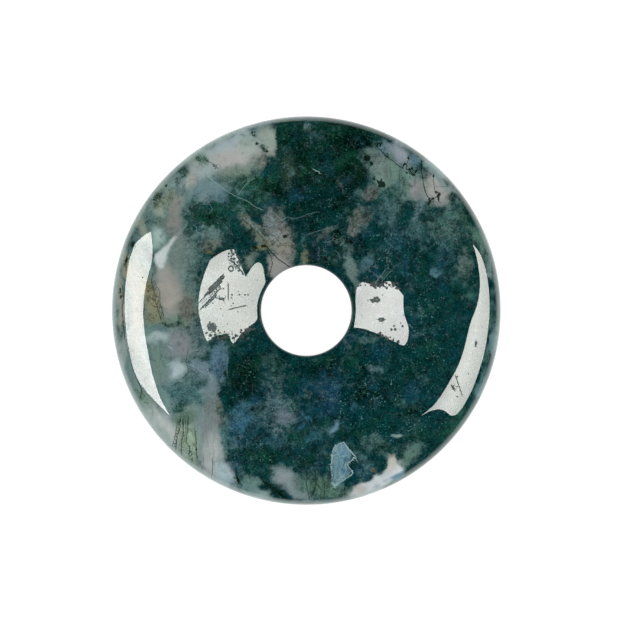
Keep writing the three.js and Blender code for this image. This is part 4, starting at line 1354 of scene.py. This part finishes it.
def stone_material():
    """The moss agate: what the mesh has painted, broken up finely by noise, under a worn polish, with
    light painted into the rim's colour and shade painted into the pits.
    """
    s = Shader("moss agate")
    position = s.add("ShaderNodeTexCoord").outputs["Object"]
    place = s.vector("SCALE", position, scale=1 / MM)
    # veil is the painted rim light: how much of the glow of the thin rim is painted into the colour
    stone, veil = s.painted_colour("stone")
    moss, cover = s.painted_colour("moss")
    clumps, felt, wear, ochre = s.painted("growth")
    dark_offset, dark_strength, pale_offset, pale_strength = s.painted("threads")
    scratch_offset, scratch_strength, _, _ = s.painted("scratches")
    wobble = s.noise(s.shifted(place, 6, 7, 8), THREAD_WOBBLE, detail=2, roughness=0.6)
    wobble = s.swing(wobble, 5.0)

    tint = add_moss(s, place, stone, moss, cover, clumps)
    paleness = s.fade(s.add("ShaderNodeRGBToBW", {0: tint}).outputs[0], 0.01, 0.3)
    tint = add_tone(s, place, tint, paleness)
    web, streaks, sparkle, leaves = s.painted("fabric")
    tint = add_streaks(s, place, tint, streaks)
    tint = add_specks(s, place, tint, paleness, sparkle)
    tint = add_ochre(s, place, tint, ochre)
    tint = add_web(s, place, tint, web)
    tint = add_felt(s, place, tint, felt)
    grown = {"felt": s.fade(felt, 0.2, 0.8), "sparkle": sparkle}
    for kind, *sizes in HAIRS:
        tint = add_hairs(s, place, tint, grown[kind], *sizes)
    tint = s.mix(s.line(dark_offset, dark_strength, wobble), tint, linear(THREAD_DARK))
    tint = add_leaves(s, place, tint, leaves)
    tint = s.mix(s.line(pale_offset, pale_strength, wobble), tint, linear(THREAD_PALE))
    # Painted light: the glow of the thin rim is mixed into the colour
    tint = s.mix(veil, tint, linear(PAINTED_RIM_LIGHT))

    scratch = s.line(scratch_offset, scratch_strength, s.product(wobble, 0.5))
    worn = add_wear(s, place, wear, scratch)
    # Painted shade: the colour is darkened in the pits and scratches
    tint = s.vector("SCALE", tint, scale=s.fade(worn, 0.0, 1.0, 1.0, PIT_PAINTED_SHADE))
    pit_shape = {"Height": worn, "Strength": 1.0, "Distance": PIT_DEPTH * MM}
    bump = s.add("ShaderNodeBump", pit_shape, invert=True)
    surface = s.add(
        "ShaderNodeBsdfPrincipled",
        {
            "Base Color": tint,
            "Roughness": s.fade(worn, 0.0, 1.0, POLISHED, PITTED),
            "IOR": REFRACTION,
            "Subsurface Weight": TRANSLUCENCE,
            "Subsurface Radius": SPREAD_BY_COLOUR,
            "Subsurface Scale": SPREAD * MM,
            "Normal": bump.outputs[0],
        },
    )
    return s.finished(surface)


def make_object(name, data):
    """An object in the scene for a mesh, camera or light."""
    made = bpy.data.objects.new(name, data)
    bpy.context.scene.collection.objects.link(made)
    return made


def make_camera():
    """A camera straight above, framed as the photograph is."""
    camera = make_object("camera", bpy.data.cameras.new("camera"))
    frame_width = FRAME_PIXELS / PIXELS_PER_MM * MM
    camera.data.sensor_width = SENSOR_WIDTH
    camera.data.lens = SENSOR_WIDTH * CAMERA_DISTANCE / frame_width
    camera.location = (
        (FRAME_PIXELS / 2 - AXIS_PIXEL_X) / PIXELS_PER_MM * MM,
        (AXIS_PIXEL_Y - FRAME_PIXELS / 2) / PIXELS_PER_MM * MM,
        CAMERA_DISTANCE + HALF_THICKNESS * MM,
    )
    camera.data.clip_start = NEAREST_SEEN
    camera.data.clip_end = FURTHEST_SEEN
    bpy.context.scene.camera = camera


def make_table():
    """The white table, which glows so that it is as even as in the photograph."""
    s = Shader("lit white table")
    surface = s.add(
        "ShaderNodeBsdfPrincipled",
        {
            "Base Color": (*linear(TABLE_GREY), 1),
            "Roughness": 0.9,
            "Specular IOR Level": 0.0,
            "Emission Color": (*linear(TABLE_GREY), 1),
            "Emission Strength": TABLE_GLOW,
        },
    )
    mesh = bpy.data.meshes.new("floor")
    corners = [(-TABLE_HALF, -TABLE_HALF, 0), (TABLE_HALF, -TABLE_HALF, 0)]
    corners += [(TABLE_HALF, TABLE_HALF, 0), (-TABLE_HALF, TABLE_HALF, 0)]
    mesh.from_pydata(corners, [], [(0, 1, 2, 3)])
    mesh.materials.append(s.finished(surface))
    make_object("floor", mesh)


def make_sheet(name, points, faces, colour, glows):
    """A sheet that only the mirror images in polished surfaces show, with a glow at each point."""
    s = Shader(name)
    glow = s.add("ShaderNodeAttribute", attribute_name="glow").outputs["Fac"]
    light = s.add("ShaderNodeEmission", {"Color": (*linear(colour), 1), "Strength": glow})
    mesh = bpy.data.meshes.new(name)
    mesh.from_pydata(points, [], faces)
    mesh.attributes.new("glow", "FLOAT", "POINT").data.foreach_set("value", glows)
    mesh.materials.append(s.finished(light))
    sheet = make_object(name, mesh)
    sheet.visible_camera = False
    sheet.visible_diffuse = False
    sheet.visible_shadow = False
    sheet.visible_transmission = False


def make_softbox(name, side, colour, strength):
    """A softbox beside the stone. Each corner of its outline is the slope that a polished surface has
    where it mirrors that corner straight up, the corner's bearing from the X axis, in degrees and
    positive towards the viewer or, on the other side of the hole, away, and how brightly it glows."""
    corners = []
    for slope, bearing, _ in SOFTBOX_OUTLINE:
        down, turn = math.radians(2 * slope), math.radians(bearing)
        corners.append(
            (
                side * SOFTBOX_DISTANCE * math.sin(down) * math.cos(turn),
                -SOFTBOX_DISTANCE * math.sin(down) * math.sin(turn),
                SOFTBOX_DISTANCE * math.cos(down),
            )
        )
    count = len(corners)
    middle = tuple(sum(c[i] for c in corners) / count for i in range(3))
    faces = [(i, (i + 1) % count, count) for i in range(count)]
    glows = [strength * corner[2] for corner in SOFTBOX_OUTLINE] + [strength * SOFTBOX_MIDDLE]
    make_sheet(name, [*corners, middle], faces, colour, glows)


def even_outline(points, steps=4):
    """A closed outline through the points, bent evenly but for the corners, which are given twice."""
    outline = []
    count = len(points)
    for i in range(count):
        before, start, end, after = (np.array(points[(i + k) % count]) for k in (-1, 0, 1, 2))
        if np.allclose(start, end):
            continue
        for j in range(steps):
            t = j / steps
            spot = (
                2 * start + (end - before) * t + (2 * before - 5 * start + 4 * end - after) * t ** 2
                + (3 * start - before - 3 * end + after) * t ** 3
            )
            outline.append(spot / 2)
    return outline


def where_card_is_met(spot):
    """Where the line of sight that a point of the upper face mirrors straight up passes the card."""
    r = math.hypot(*spot)
    if r < CREST_INNER_RADIUS:
        bend, run = INNER_FLANK_BEND, r - CREST_INNER_RADIUS
    else:
        bend, run = OUTER_FLANK_BEND, min(r, FLANK_END) - CREST_OUTER_RADIUS
    slope = math.asin(run / bend)
    fallen = bend * (1 - math.cos(slope))
    stretch = 1 + (CARD_GAP + fallen) * math.tan(2 * slope) / r
    return (*(spot * stretch * MM), (THICKNESS + CARD_GAP) * MM)


def make_card():
    """The black card with windows that trims the softboxes' images, just over the stone."""
    turns = np.arange(CARD_TURN_STEPS) * 2 * math.pi / CARD_TURN_STEPS
    height = (THICKNESS + CARD_GAP) * MM
    edge = [(CARD_RADIUS * MM * math.cos(t), CARD_RADIUS * MM * math.sin(t), height) for t in turns]
    loops = [edge] + [[where_card_is_met(spot) for spot in even_outline(w)] for w in WINDOWS]
    points = [point for loop in loops for point in loop]
    faces = tessellate_polygon([[Vector(point) for point in loop] for loop in loops])
    make_sheet("card", points, faces, (0, 0, 0), [0.0] * len(points))


def make_table_gleam():
    """What the polished rim sees of the table round the stone, which its own shade darkens."""
    count = TABLE_TURN_STEPS
    points, glows = [], []
    angles, values = np.array(TABLE_GLEAM).T
    for radius, share in TABLE_RINGS:
        for i in range(count):
            bearing = (i * 360 / count + 180) % 360 - 180
            turn = math.radians(bearing)
            points.append((radius * MM * math.cos(turn), radius * MM * math.sin(turn), TABLE_GAP * MM))
            glows.append(share * float(np.interp(bearing, angles, values)))
    faces = []
    for ring in range(len(TABLE_RINGS) - 1):
        near, far = ring * count, (ring + 1) * count
        for i in range(count):
            j = (i + 1) % count
            faces.append((near + i, far + i, far + j, near + j))
    make_sheet("table in the rim", points, faces, (255, 255, 255), glows)


def make_lights():
    """The two softboxes with the card that trims them, the table in the rim, and light from above."""
    make_softbox("left softbox", -1, LEFT_COLOUR, LEFT_STRENGTH)
    make_softbox("right softbox", 1, RIGHT_COLOUR, RIGHT_STRENGTH)
    make_card()
    make_table_gleam()
    sun = bpy.data.lights.new("overhead", "SUN")
    sun.energy = SUN_STRENGTH
    sun.angle = math.radians(SUN_SPREAD)
    overhead = make_object("overhead", sun)
    overhead.visible_glossy = False
    world = bpy.data.worlds.new("studio")
    world.use_nodes = True
    sky = world.node_tree.nodes["Background"].inputs
    sky["Color"].default_value = (1, 1, 1, 1)
    sky["Strength"].default_value = SKY_STRENGTH
    world.cycles_visibility.glossy = False
    bpy.context.scene.world = world


def main():
    """The stone, and the stage that it is photographed on."""
    bpy.context.scene.view_settings.view_transform = "Standard"
    make_camera()
    stone = make_object("donut_stone", stone_mesh())
    stone.data.materials.append(stone_material())
    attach(stone, "root")
    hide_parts("donut")
    make_table()
    make_lights()


main()
